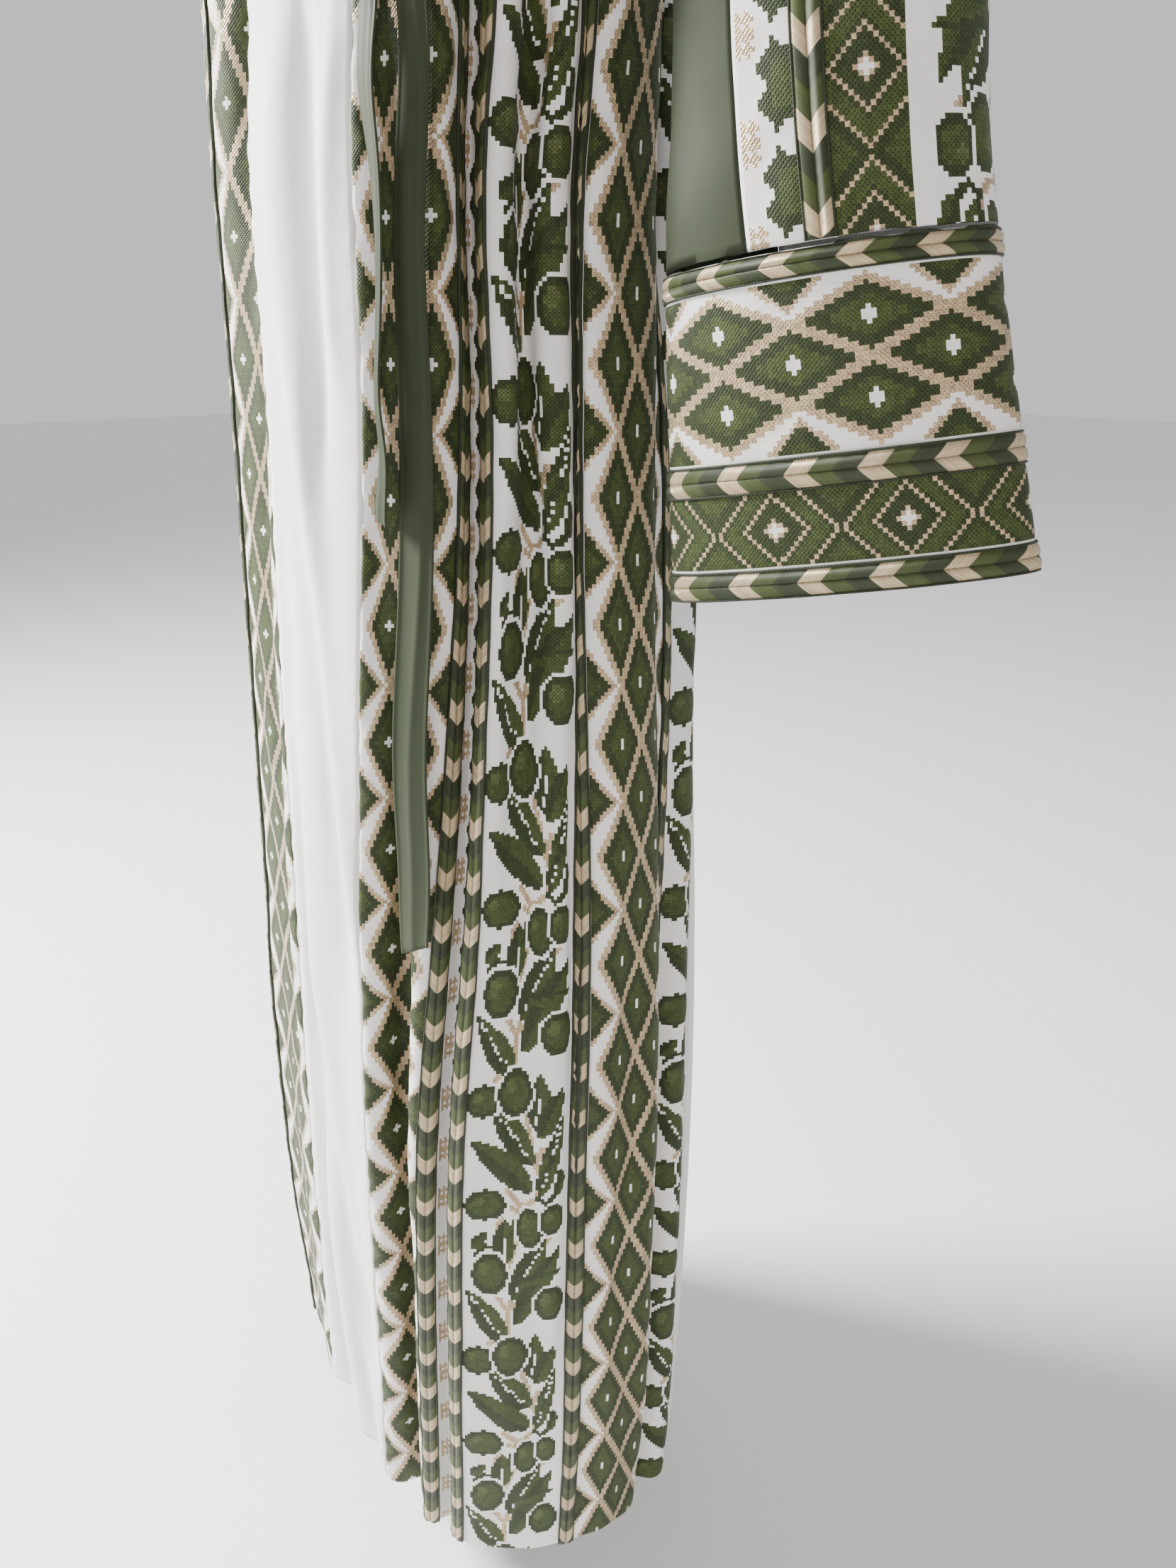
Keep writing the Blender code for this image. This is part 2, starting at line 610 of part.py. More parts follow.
def strip_on_body(name, table, satin):
    """A hanging end of the belt, on a centre line given over the body's outline, with a blunt cut end."""
    points, normals = [], []
    heights = column(table, TAIL_COLUMNS, "height")[::-1]
    for z in np.linspace(table[-1][0], table[0][0], 3 * len(table) - 2):
        part = {
            key: float(smooth_between(z, heights, column(table, TAIL_COLUMNS, key)[::-1]))
            for key in TAIL_COLUMNS[1:]
        }
        middle, beside = section(
            np.array([part["stitch"], part["stitch"] + 1.0]), z, folded=False, lift=part["lift"]
        )
        across = unit(beside - middle)
        out = np.array([across[1], -across[0]])
        turn = math.radians(part["turn"])
        width = across * math.cos(turn) + out * math.sin(turn)
        face = out * math.cos(turn) - across * math.sin(turn)
        shift = middle + out * part["half_width"] * math.sin(turn)
        sides = [shift + width * part["half_width"] * way for way in (-1, 1)]
        points.append([[*side, z] for side in sides])
        normals.append([[*face, 0.0]] * 2)
    points, normals = np.array(points), np.array(normals)
    points[0][0][2] += TAIL_SLANT
    return wall(name, points, normals, 0.0, TAIL_WALL, satin)


def belt_knot(satin):
    """The tied knot: a flattened loft, wide in the middle, standing just off the belt."""
    columns = np.array([KNOT_STITCH, KNOT_STITCH + 1.0])
    inner = section(columns, BELT_HEIGHT, folded=False, lift=BELT_LIFT + BELT_WALL + GAP)
    across = unit(inner[1] - inner[0])
    out = np.array([across[1], -across[0]])
    width, depth, tall = KNOT_SIZE
    rings = []
    for share in np.linspace(-1, 1, KNOT_RINGS):
        swell = math.sqrt(1 - (KNOT_ROUNDING * share) ** 2)
        ring = []
        for angle in np.linspace(0, 2 * math.pi, KNOT_SIDES, endpoint=False):
            sideways = width / 2 * swell * math.cos(angle)
            ahead = KNOT_STANDOFF + depth / 2 * (1 + swell * math.sin(angle))
            place = inner[0] + across * sideways + out * ahead
            ring.append((*place, BELT_HEIGHT + tall / 2 * share))
        rings.append(ring)
    shell = bmesh.new()
    loops = [[shell.verts.new(point) for point in ring] for ring in rings]
    for lower, upper in zip(loops, loops[1:], strict=False):
        for j in range(len(lower)):
            k = (j + 1) % len(lower)
            shell.faces.new((lower[j], lower[k], upper[k], upper[j]))
    shell.faces.new(loops[0][::-1])
    shell.faces.new(loops[-1])
    return finish("belt_knot", shell, satin)


def main():
    for thing in list(bpy.data.objects):
        bpy.data.objects.remove(thing, do_unlink=True)
    crepe = finish_material("embroidered_crepe", (0.80, 0.79, 0.76), 0.75, 0.2)
    satin = finish_material("sage_satin", (0.13, 0.16, 0.095), 0.38, 0.1)
    braid = finish_material("green_gold_braid", (0.09, 0.14, 0.045), 0.45, 0.1)
    body_panels(crepe)
    body_braids(braid)
    sleeves(crepe, satin, braid)
    neck_band(satin)
    belt(satin)
    belt_knot(satin)
    strip_on_body("belt_tail_short", SHORT_TAIL, satin)
    strip_on_body("belt_tail_long", LONG_TAIL, satin)


if __name__ == "__main__":
    main()
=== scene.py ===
"""A worn Palestinian thobe: the looks of its cloth, cross-stitch, braids and satin belt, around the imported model.

Lengths along the cloth are in stitches: one cross stitch is STITCH metres. On the body, u is the stitch column
from the centre front, positive to the wearer's left, and v is the row, up from the hem.
"""

import math

import bpy
import numpy as np
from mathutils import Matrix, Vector


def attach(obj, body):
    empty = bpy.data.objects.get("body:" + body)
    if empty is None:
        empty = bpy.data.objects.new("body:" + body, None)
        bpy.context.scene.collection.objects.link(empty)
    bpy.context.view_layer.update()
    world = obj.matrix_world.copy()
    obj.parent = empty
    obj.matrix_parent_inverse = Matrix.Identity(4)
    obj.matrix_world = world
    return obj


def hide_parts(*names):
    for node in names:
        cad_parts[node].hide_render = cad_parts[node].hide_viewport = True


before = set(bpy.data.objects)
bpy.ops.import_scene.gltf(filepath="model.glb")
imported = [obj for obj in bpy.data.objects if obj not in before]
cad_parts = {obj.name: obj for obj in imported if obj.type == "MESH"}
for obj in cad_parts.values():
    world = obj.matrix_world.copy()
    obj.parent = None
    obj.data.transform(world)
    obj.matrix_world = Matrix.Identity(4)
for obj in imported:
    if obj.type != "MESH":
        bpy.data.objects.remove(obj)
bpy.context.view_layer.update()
bpy.ops.object.select_all(action="DESELECT")

STITCH = 0.0024
HEM = -1.565
BELT_HEIGHT = -0.385
ARMPIT = -0.240
GAP = 0.0003
CLOTH = 0.0011
RELIEF = 0.0004

# ----------------------------------------
# The cut: strips from the centre front round to the centre back, in stitches
# ----------------------------------------

BRAID = 6.5
STRIPS = (
    ("white", 31.0),
    ("lattice", 37.0),
    ("braid_a", BRAID),
    ("star", 12.0),
    ("braid_b", BRAID),
    ("leaf", 40.0),
    ("braid_c", BRAID),
    ("side_lattice", 37.0),
    ("braid_d", BRAID),
    ("back_leaf", 40.0),
    ("back", 91.0),
)
START = {}
HALF_ROUND = 0.0
for strip_name, strip_width in STRIPS:
    START[strip_name] = HALF_ROUND
    HALF_ROUND += strip_width
SEAM_B = START["braid_b"] + BRAID / 2
SEAM_C = START["braid_c"] + BRAID / 2
SEAM_D = START["braid_d"] + BRAID / 2
SEAM = GAP / 2 / STITCH

OUTLINE_TURN = math.radians(12.0)
OUTLINE_POWER = 2.5
OUTLINE_COLUMNS = ("height", "left", "right", "front", "back", "centre", "turned")
OUTLINES = (
    (-0.240, 0.186, 0.186, 0.132, 0.112, 0.030, 0.2),
    (-0.385, 0.180, 0.182, 0.142, 0.112, 0.058, 0.6),
    (-0.450, 0.178, 0.178, 0.144, 0.110, 0.070, 0.7),
    (-0.515, 0.180, 0.197, 0.148, 0.122, 0.079, 1.0),
    (-0.665, 0.187, 0.215, 0.150, 0.134, 0.079, 1.0),
    (-0.885, 0.203, 0.235, 0.155, 0.140, 0.063, 1.0),
    (-1.115, 0.216, 0.253, 0.160, 0.142, 0.048, 1.0),
    (-1.365, 0.219, 0.265, 0.160, 0.138, 0.035, 1.0),
    (-1.565, 0.212, 0.273, 0.154, 0.132, 0.020, 1.0),
)

FOLD_HEIGHTS = (-0.240, -0.465, -0.715, -1.115, -1.565)
FOLD_COLUMNS = ("at_belt", "at_hem", "half_width", "bust", "belt", "hip", "knee", "hem")
FOLDS = (
    (48, 50, 0.026, 0.002, 0.006, 0.011, 0.029, 0.029),
    (78, 80, 0.034, 0.002, 0.036, 0.034, 0.006, 0.000),
    (80, 80, 0.014, 0.001, 0.003, 0.004, 0.014, 0.014),
    (112, 112, 0.028, 0.004, 0.030, 0.029, 0.011, 0.002),
    (135, 136, 0.016, 0.002, 0.016, 0.017, 0.007, 0.001),
    (181, 182, 0.022, 0.003, 0.021, 0.008, 0.022, 0.022),
    (215, 214, 0.026, 0.004, 0.026, 0.018, 0.017, 0.016),
    (252, 250, 0.028, 0.003, 0.028, 0.020, 0.018, 0.018),
    (290, 288, 0.026, 0.002, 0.025, 0.018, 0.017, 0.017),
    (6, 16, 0.026, 0.002, 0.003, 0.002, 0.005, 0.012),
    (-26, -16, 0.024, 0.002, 0.003, 0.004, 0.018, 0.012),
    (-44, -52, 0.026, 0.003, 0.022, 0.012, 0.004, 0.004),
    (-100, -96, 0.026, 0.004, 0.027, 0.020, 0.017, 0.016),
    (-140, -140, 0.026, 0.003, 0.027, 0.020, 0.018, 0.017),
    (-182, -184, 0.024, 0.003, 0.024, 0.018, 0.017, 0.016),
    (-222, -224, 0.027, 0.004, 0.028, 0.020, 0.019, 0.018),
    (-262, -266, 0.026, 0.003, 0.026, 0.018, 0.017, 0.016),
)

SHOULDER_Y = 0.010
NECK_HALF = 0.075
SHOULDER_HALF = 0.192
SHOULDER_SLOPE = 0.34
NECK_STITCHES = 31.0
FRONT_NECK_DROP = 0.36
BACK_NECK_DROP = 0.07
ARMHOLE_TOP = 0.65
ARMHOLE_DIP = 0.05
SIDE_TAPER = 0.36
NECK_BAND = 0.009
NECK_GAP = 0.0012
ARMPIT_ROW = round((ARMPIT - HEM) / STITCH)
BODICE_ROWS = 120
ARMHOLE_ROW = ARMPIT_ROW + 54
SHOULDER_ROW = ARMPIT_ROW + BODICE_ROWS
BELT_ROW = (BELT_HEIGHT - HEM) / STITCH
DENSE = 2400

# Creases laid on the large folds: where each starts and ends, its half width in stitches, and its height in
# metres, below zero for a trough.
CREASE_COLUMNS = ("u_top", "v_top", "u_low", "v_low", "half_width", "height")
CREASES = (
    # the plain centre front: two upright folds from the belt, then broad soft diagonals to the wearer's left
    (-4, 470, -2, 325, 7.0, 0.0050),
    (6, 470, 9, 345, 6.0, -0.0045),
    (20, 460, 19, 380, 4.5, 0.0030),
    (-14, 385, 22, 190, 7.5, -0.0055),
    (-4, 390, 30, 215, 7.0, 0.0050),
    (-25, 300, 6, 120, 8.0, 0.0045),
    (-10, 195, 20, 50, 7.0, -0.0060),
    (-20, 170, 9, 15, 7.5, 0.0050),
    (9, 130, 26, -8, 6.0, 0.0042),
    (-26, 90, -17, -10, 6.0, -0.0045),
    # the lattice band behind the belt's ends
    (38, 470, 40, 300, 4.0, -0.0050),
    (58, 470, 60, 330, 4.0, 0.0040),
    (44, 330, 47, 150, 5.0, -0.0055),
    (61, 300, 64, 120, 4.0, 0.0030),
    (35, 220, 36, 20, 4.0, 0.0030),
    (57, 160, 60, 5, 4.5, -0.0030),
    # the leaf panel and the side lattice
    (97, 455, 100, 340, 4.5, 0.0036),
    (122, 455, 124, 300, 5.0, 0.0040),
    (104, 380, 101, 240, 5.0, -0.0030),
    (120, 330, 108, 210, 5.5, 0.0032),
    (98, 260, 102, 120, 6.0, -0.0034),
    (124, 240, 116, 110, 6.0, 0.0034),
    (106, 190, 110, 30, 6.5, 0.0036),
    (122, 120, 126, 0, 6.0, -0.0034),
    (98, 90, 96, -10, 5.5, 0.0030),
    (131, 300, 132, 40, 3.5, -0.0040),
    (140, 440, 141, 150, 3.0, 0.0036),
    (146, 330, 149, 120, 6.0, 0.0026),
    (163, 420, 160, 250, 7.0, 0.0030),
    (156, 230, 154, 90, 5.5, -0.0030),
    (166, 190, 168, 20, 6.0, 0.0034),
    (149, 120, 152, -10, 5.5, 0.0030),
    (173, 400, 172, 200, 4.5, -0.0034),
    # the back and the wearer's right, as uneven as the side that shows
    (196, 450, 199, 300, 6.0, 0.0034),
    (205, 260, 201, 60, 7.0, -0.0036),
    (229, 455, 232, 320, 6.0, 0.0040),
    (236, 330, 240, 160, 7.0, -0.0034),
    (262, 440, 258, 280, 6.5, 0.0038),
    (270, 300, 276, 90, 7.5, 0.0040),
    (300, 450, 303, 330, 6.0, -0.0036),
    (308, 290, 301, 100, 8.0, 0.0038),
    (-302, 380, -296, 200, 7.0, -0.0036),
    (-282, 450, -284, 300, 6.0, 0.0040),
    (-276, 250, -283, 40, 7.5, 0.0036),
    (-243, 440, -246, 290, 6.5, 0.0036),
    (-240, 230, -236, 50, 7.0, -0.0036),
    (-202, 450, -204, 310, 6.0, 0.0038),
    (-198, 300, -192, 110, 7.0, -0.0032),
    (-163, 440, -160, 270, 6.5, 0.0036),
    (-166, 210, -170, 20, 7.0, 0.0034),
    (-120, 450, -122, 290, 6.0, 0.0038),
    (-112, 280, -118, 90, 6.5, -0.0034),
    (-123, 150, -116, 0, 7.0, 0.0034),
    (-80, 430, -78, 260, 5.0, -0.0030),
    (-48, 420, -50, 240, 5.5, 0.0034),
    (-42, 300, -38, 120, 5.0, -0.0034),
    (-66, 200, -70, 30, 6.0, 0.0032),
    # the bodice: drags from the armholes and over the belt
    (20, 587, 30, 500, 6.0, 0.0030),
    (-18, 597, -28, 500, 6.0, 0.0030),
    (60, 572, 72, 495, 6.0, 0.0036),
    (-58, 577, -70, 495, 6.0, 0.0034),
    (44, 557, 50, 492, 5.0, -0.0030),
    (-42, 557, -48, 492, 5.0, -0.0030),
    (108, 572, 112, 495, 6.0, 0.0030),
    (-104, 572, -110, 495, 6.0, 0.0030),
    (214, 587, 222, 495, 8.0, 0.0036),
    (-212, 587, -224, 495, 8.0, 0.0036),
    (262, 587, 266, 495, 8.0, -0.0034),
    (-258, 587, -262, 495, 8.0, -0.0034),
    (310, 592, 306, 495, 8.0, 0.0034),
)


def column(table, columns, name):
    return np.array([row[columns.index(name)] for row in table])


def smooth_between(x, xs, ys):
    """A value read from a table with no corners at its rows, by smoothed slopes."""
    slopes = np.gradient(ys, xs)
    x = min(max(x, xs[0]), xs[-1])
    k = int(min(max(np.searchsorted(xs, x) - 1, 0), len(xs) - 2))
    width = xs[k + 1] - xs[k]
    t = (x - xs[k]) / width
    return (
        ys[k] * (1 + 2 * t) * (1 - t) ** 2
        + slopes[k] * width * t * (1 - t) ** 2
        + ys[k + 1] * t * t * (3 - 2 * t)
        + slopes[k + 1] * width * t * t * (t - 1)
    )


def outline_value(z, name):
    heights = column(OUTLINES, OUTLINE_COLUMNS, "height")[::-1]
    return smooth_between(z, heights, column(OUTLINES, OUTLINE_COLUMNS, name)[::-1])


def signed_power(value):
    return np.sign(value) * np.abs(value) ** (2 / OUTLINE_POWER)


def base_outline(z):
    """The smooth closed outline at a height: points from the centre back round by the right, front and left."""
    angle = np.linspace(-math.pi, math.pi, DENSE + 1)
    side = np.where(np.sin(angle) > 0, outline_value(z, "left"), outline_value(z, "right"))
    depth = np.where(np.cos(angle) > 0, outline_value(z, "front"), outline_value(z, "back"))
    across = side * signed_power(np.sin(angle))
    along = -depth * signed_power(np.cos(angle))
    turn = OUTLINE_TURN * outline_value(z, "turned")
    x = across * math.cos(turn) + along * math.sin(turn)
    y = -across * math.sin(turn) + along * math.cos(turn)
    points = np.stack([x, y], 1)
    run = np.concatenate([[0], np.cumsum(np.linalg.norm(np.diff(points, axis=0), axis=1))])
    middle = slice(DENSE // 4, 3 * DENSE // 4 + 1)
    front = np.interp(outline_value(z, "centre"), across[middle], run[middle])
    return points, run, front


def fold_depth(stitches, z):
    """How far the cloth dips inwards at these stitch columns."""
    depth = np.zeros_like(stitches)
    down = min(max((BELT_HEIGHT - z) / (BELT_HEIGHT - HEM), 0), 1)
    for row in FOLDS:
        fold = dict(zip(FOLD_COLUMNS, row, strict=True))
        heights = np.array(FOLD_HEIGHTS[::-1])
        depths = np.array([fold[name] for name in ("hem", "knee", "hip", "belt", "bust")])
        centre = fold["at_belt"] + (fold["at_hem"] - fold["at_belt"]) * down
        off = (stitches - centre + HALF_ROUND) % (2 * HALF_ROUND) - HALF_ROUND
        depth += smooth_between(z, heights, depths) * np.exp(-((off * STITCH / fold["half_width"]) ** 2))
    return depth


def section(stitches, z, folded=True, lift=0.0):
    """Points of the cloth at one height, in plan. Its length along the folds follows the cut."""
    points, run, front = base_outline(z)
    normal = np.gradient(points, axis=0)
    normal = np.stack([normal[:, 1], -normal[:, 0]], 1)
    normal /= np.linalg.norm(normal, axis=1)[:, None]
    cloth = np.linspace(0, HALF_ROUND, DENSE + 1)
    result = np.zeros((len(stitches), 2))
    for side, room in ((1, run[-1] - front), (-1, front)):
        dip = fold_depth(side * cloth, z)
        slope = np.gradient(dip, cloth * STITCH)
        used = np.sqrt(np.maximum(1 - slope**2, 0.04))
        taper = max(z - BELT_HEIGHT, 0) / (ARMPIT - BELT_HEIGHT)
        used[cloth > START["leaf"]] *= 1 - SIDE_TAPER * taper
        along = np.concatenate([[0], np.cumsum((used[1:] + used[:-1]) / 2)])
        along *= room / along[-1]
        mine = stitches * side >= 0
        at = np.abs(stitches[mine])
        place = front + side * np.interp(at, cloth, along)
        out = lift - (np.interp(at, cloth, dip) if folded else 0.0)
        for axis in (0, 1):
            on_outline = np.interp(place, run, points[:, axis])
            result[mine, axis] = on_outline + out * np.interp(place, run, normal[:, axis])
    return result


def armhole_share(stitches):
    """The share of the bodice's height at which each stitch column ends: under the arm, at the neck, or at 1."""
    at = np.abs(stitches)
    share = np.ones_like(at)
    neck = at < NECK_STITCHES
    share[neck] = 1 - FRONT_NECK_DROP * np.cos(at[neck] / NECK_STITCHES * math.pi / 2) ** 0.9
    nape = HALF_ROUND - at
    behind = nape < NECK_STITCHES
    share[behind] = 1 - BACK_NECK_DROP * np.cos(nape[behind] / NECK_STITCHES * math.pi / 2)
    under = (at > SEAM_B) & (at < SEAM_D)
    turn = np.sin((at[under] - SEAM_B) / (SEAM_D - SEAM_B) * math.pi) ** 0.75
    share[under] = 1 + (ARMHOLE_DIP / ARMHOLE_TOP - 1) * turn
    return share


def shoulder_points(stitches):
    """Where each column would reach the ridge from shoulder to shoulder."""
    front = np.abs(stitches) < (SEAM_B + SEAM_D) / 2
    at = np.where(front, np.abs(stitches), HALF_ROUND - np.abs(stitches))
    full = np.where(front, SEAM_B, HALF_ROUND - SEAM_D)
    beyond = np.clip((at - NECK_STITCHES) / (full - NECK_STITCHES), 0, 1)
    near = np.clip(at / NECK_STITCHES, 0, 1)
    x = near * NECK_HALF + beyond * (SHOULDER_HALF - NECK_HALF)
    z = -SHOULDER_SLOPE * beyond * (SHOULDER_HALF - NECK_HALF)
    y = np.where(front, SHOULDER_Y - GAP, SHOULDER_Y + GAP)
    return np.stack([x * np.sign(stitches), y, z], 1)


def wrapped(stitches):
    return (np.asarray(stitches, float) + HALF_ROUND) % (2 * HALF_ROUND) - HALF_ROUND


def body_row(stitches, v):
    """Points of the body's cloth for stitch columns on row v."""
    stitches = wrapped(stitches)
    if v <= ARMPIT_ROW:
        z = HEM + v * STITCH
        return np.column_stack([section(stitches, z), np.full(len(stitches), z)])
    share = math.sin((v - ARMPIT_ROW) / BODICE_ROWS * math.pi / 2) * armhole_share(stitches)
    low = section(stitches, ARMPIT)
    top = shoulder_points(stitches)
    lean = np.sqrt(np.maximum(1 - share**2, 0))
    ease = share * share * (3 - 2 * share)
    x = low[:, 0] + (top[:, 0] - low[:, 0]) * ease
    y = top[:, 1] + (low[:, 1] - top[:, 1]) * lean
    z = ARMPIT + (top[:, 2] - ARMPIT) * share
    return np.stack([x, y, z], 1)


def unit(vectors):
    return vectors / np.maximum(np.linalg.norm(vectors, axis=-1, keepdims=True), 1e-12)


def grid_normals(points):
    """Outward normals of a grid whose columns run to the wearer's left as its rows run up."""
    return unit(np.cross(np.gradient(points, axis=1), np.gradient(points, axis=0)))


def soft_step(x):
    x = np.clip(x, 0, 1)
    return x * x * (3 - 2 * x)


def crease_height(us, vs):
    """How far the small creases lift the cloth, for a grid of columns us and rows vs."""
    u = wrapped(us)[None, :]
    v = np.asarray(vs, float)[:, None]
    height = np.zeros((v.shape[0], u.shape[1]))
    for row in CREASES:
        crease = dict(zip(CREASE_COLUMNS, row, strict=True))
        length = crease["v_top"] - crease["v_low"]
        down = (crease["v_top"] - v) / length
        bend = 2.5 * np.sin(down * 5 + crease["u_top"])
        centre = crease["u_top"] + (crease["u_low"] - crease["u_top"]) * down + bend
        off = (u - centre + HALF_ROUND) % (2 * HALF_ROUND) - HALF_ROUND
        fade = soft_step(down / 0.3 + 0.3) * soft_step((1 - down) / 0.3 + 0.3)
        height += crease["height"] * fade * np.exp(-((off / crease["half_width"]) ** 2))
    # Fine gathers run out from the belt, and the plain crepe puckers beside its embroidered seams.
    near_belt = np.exp(-np.abs(v - BELT_ROW) / 22)
    height += 0.0011 * near_belt * np.sin(u * 0.83 + 1.7 * np.sin(u * 0.11)) * (0.6 + 0.4 * np.sin(u * 0.37))
    for seam in (-START["lattice"], START["lattice"]):
        beside = np.exp(-(((u - seam) / 3.5) ** 2))
        height += 0.00045 * beside * np.sin(v * 0.62 + 2.2 * np.sin(v * 0.045 + seam))
    stitched = (np.abs(u) > START["lattice"]) & (np.abs(u) < START["back"])
    pucker = np.sin(v * 0.30 + 1.3 * np.sin(u * 0.21)) * np.sin(u * 0.27 + 1.1 * np.sin(v * 0.09))
    height += 0.00035 * stitched * pucker
    return height


def body_surface(us, vs):
    """(points, outward normals) of the body's outer face."""
    flat = np.array([body_row(us, v) for v in vs])
    points = flat + grid_normals(flat) * crease_height(us, vs)[..., None]
    return points, grid_normals(points)


# ----------------------------------------
# Charts of the cross-stitch: 0 is bare cloth, and the rest are threads
# ----------------------------------------

GOLD, DARK, MID, LIGHT = 1, 2, 3, 4
DIAMOND_REPEAT = 32
STAR_REPEAT = 18
DENSE_REPEAT = 28
LEAF_REPEAT = 96


def from_middle(value, repeat, middle=0.0):
    return np.abs((value - middle + repeat / 2) % repeat - repeat / 2)


def lattice_chart(x, y, cross=True, width=37.0):
    """Three staggered columns of long diamonds with gold outlines, and half diamonds along both edges."""
    x, y = np.meshgrid(x, y)
    code = np.zeros(x.shape, int)
    middle = width / 2
    nearest = np.full(x.shape, 99.0)
    for place, shift in ((middle - 8, 0), (middle, DIAMOND_REPEAT / 2), (middle + 8, 0)):
        across = np.abs(x - place)
        along = from_middle(y, DIAMOND_REPEAT, shift + 0.5)
        far = 2 * across + along
        nearest = np.minimum(nearest, far)
        code = np.where(far < 14, np.where(far > 8.5, DARK, MID), code)
        heart = across + along < 1.6 if cross else (across < 0.6) & (along < 1.1)
        code = np.where(heart, 0, code)
    code = np.where((nearest >= 14) & (nearest < 18), GOLD, code)
    edge = 1.15 * np.minimum(x, width - x) + from_middle(y, DIAMOND_REPEAT, DIAMOND_REPEAT / 2 + 0.5)
    code = np.where((edge < 4.5) & (code == 0), MID, code)
    code = np.where((edge < 8.0) & (code == 0), DARK, code)
    return np.where((edge >= 8.0) & (edge < 9.8) & (code == 0), GOLD, code)


STAR_COLUMNS = ("from_gap", "left", "right")
STAR_PROFILE = (
    (0.9, 6.6, 5.5), (1.7, 6.4, 6.0), (2.6, 6.0, 7.0), (3.4, 5.4, 8.6), (4.3, 4.4, 8.6), (5.1, 3.2, 8.6),
    (6.0, 2.6, 8.6), (6.9, 3.4, 8.6), (7.7, 4.2, 8.6), (9.0, 5.0, 8.6),
)


def star_chart(x, y):
    """Half stars against the braid on one side, and pairs of gold squares between them on the other."""
    x, y = np.meshgrid(x, y)
    gap = from_middle(y, STAR_REPEAT)
    place = x - 2.0
    at = column(STAR_PROFILE, STAR_COLUMNS, "from_gap")
    left = np.interp(gap, at, column(STAR_PROFILE, STAR_COLUMNS, "left"))
    right = np.interp(gap, at, column(STAR_PROFILE, STAR_COLUMNS, "right"))
    star = (gap >= 0.9) & (place >= left) & (place <= right + 1.4)
    core = star & (gap > 4.8) & (place > 5.6)
    code = np.where(star, DARK, 0)
    code = np.where(core, MID, code)
    square = (gap > 0.4) & (gap < 3.6) & (place >= -0.6) & (place < 2.8)
    dot = (np.floor(gap) % 2 == 1) & (np.floor(place + 0.6) % 2 == 1)
    return np.where(square & (code == 0) & ~dot, GOLD, code)


def dense_chart(x, y, width=15.0):
    """A band wholly covered with concentric diamonds."""
    x, y = np.meshgrid(x, y)
    far = np.abs(x - width / 2) + from_middle(y, DENSE_REPEAT, 0.5)
    code = np.where((far > 8.4) & (far < 12.2), MID, DARK)
    code = np.where((far >= 6.6) & (far < 7.6), GOLD, code)
    code = np.where((far >= 13.0) & (far < 14.0), GOLD, code)
    code = np.where(far >= 16.5, MID, code)
    code = np.where(far < 2.6, GOLD, code)
    return np.where(far < 1.6, 0, code)


FRUIT_COLUMNS = ("x", "y", "width", "height")
FRUITS = (
    (6, 8, 12, 10), (18, 6, 12, 14), (8, 44, 14, 10),
    (25, 52, 9, 13), (33, 49.5, 8, 10), (10, 69.5, 12, 14), (33, 82.5, 11, 12),
)
LEAF_COLUMNS = ("base_x", "base_y", "tip_x", "tip_y", "width", "vein")
LEAVES = (
    (27, 18, 27.5, -1, 7.0, "slit"), (28, 20, 35, 4, 6.0, "plain"), (26, 30, 9, 9.5, 8.0, "dotted"),
    (26, 39, 2, 21, 8.0, "plain"), (28.5, 41, 35.5, 14, 5.0, "dotted"), (32, 25, 28.5, 34, 3.0, "plain"),
    (34, 41, 37, 33, 3.4, "plain"), (15, 66, 15.5, 49, 7.0, "slit"), (18.5, 79, 31, 56, 8.0, "dotted"),
    (19.5, 89.5, 36, 60, 7.5, "plain"), (17, 97, 1.5, 76, 7.5, "dotted"), (20, 73, 38, 69, 3.6, "plain"),
    (22, 48, 16, 56, 3.2, "plain"), (3, 60, 9, 54, 3.6, "plain"),
)
STEMS = (
    ((22, 13), (24.5, 20), (26, 27), (28.5, 33), (28, 41), (22, 45), (19, 42), (16, 39)),
    ((28, 41), (20, 46), (16, 44), (12.5, 52)), ((29, 24), (27, 29)), ((12, 12), (15, 20), (25, 27)),
    ((20, 58), (17, 66), (19, 76), (17, 86), (17, 97)), ((18, 80), (24, 86), (29, 83)),
    ((33, 55), (27, 62), (19, 74)), ((12, 76), (17, 84)), ((17, 92), (10, 97)),
)
TWIGS = (
    ((28, 41), (31, 43), (34, 40), (35, 33)),
    ((5, 62), (8, 59), (12, 60), (11, 64)),
    ((19, 76), (24, 72), (30, 71)),
)


def distance_to_path(x, y, path):
    nearest = np.full(x.shape, 99.0)
    for (ax, ay), (bx, by) in zip(path, path[1:], strict=False):
        length = (bx - ax) ** 2 + (by - ay) ** 2
        t = np.clip(((x - ax) * (bx - ax) + (y - ay) * (by - ay)) / length, 0, 1)
        nearest = np.minimum(nearest, np.hypot(x - ax - t * (bx - ax), y - ay - t * (by - ay)))
    return nearest


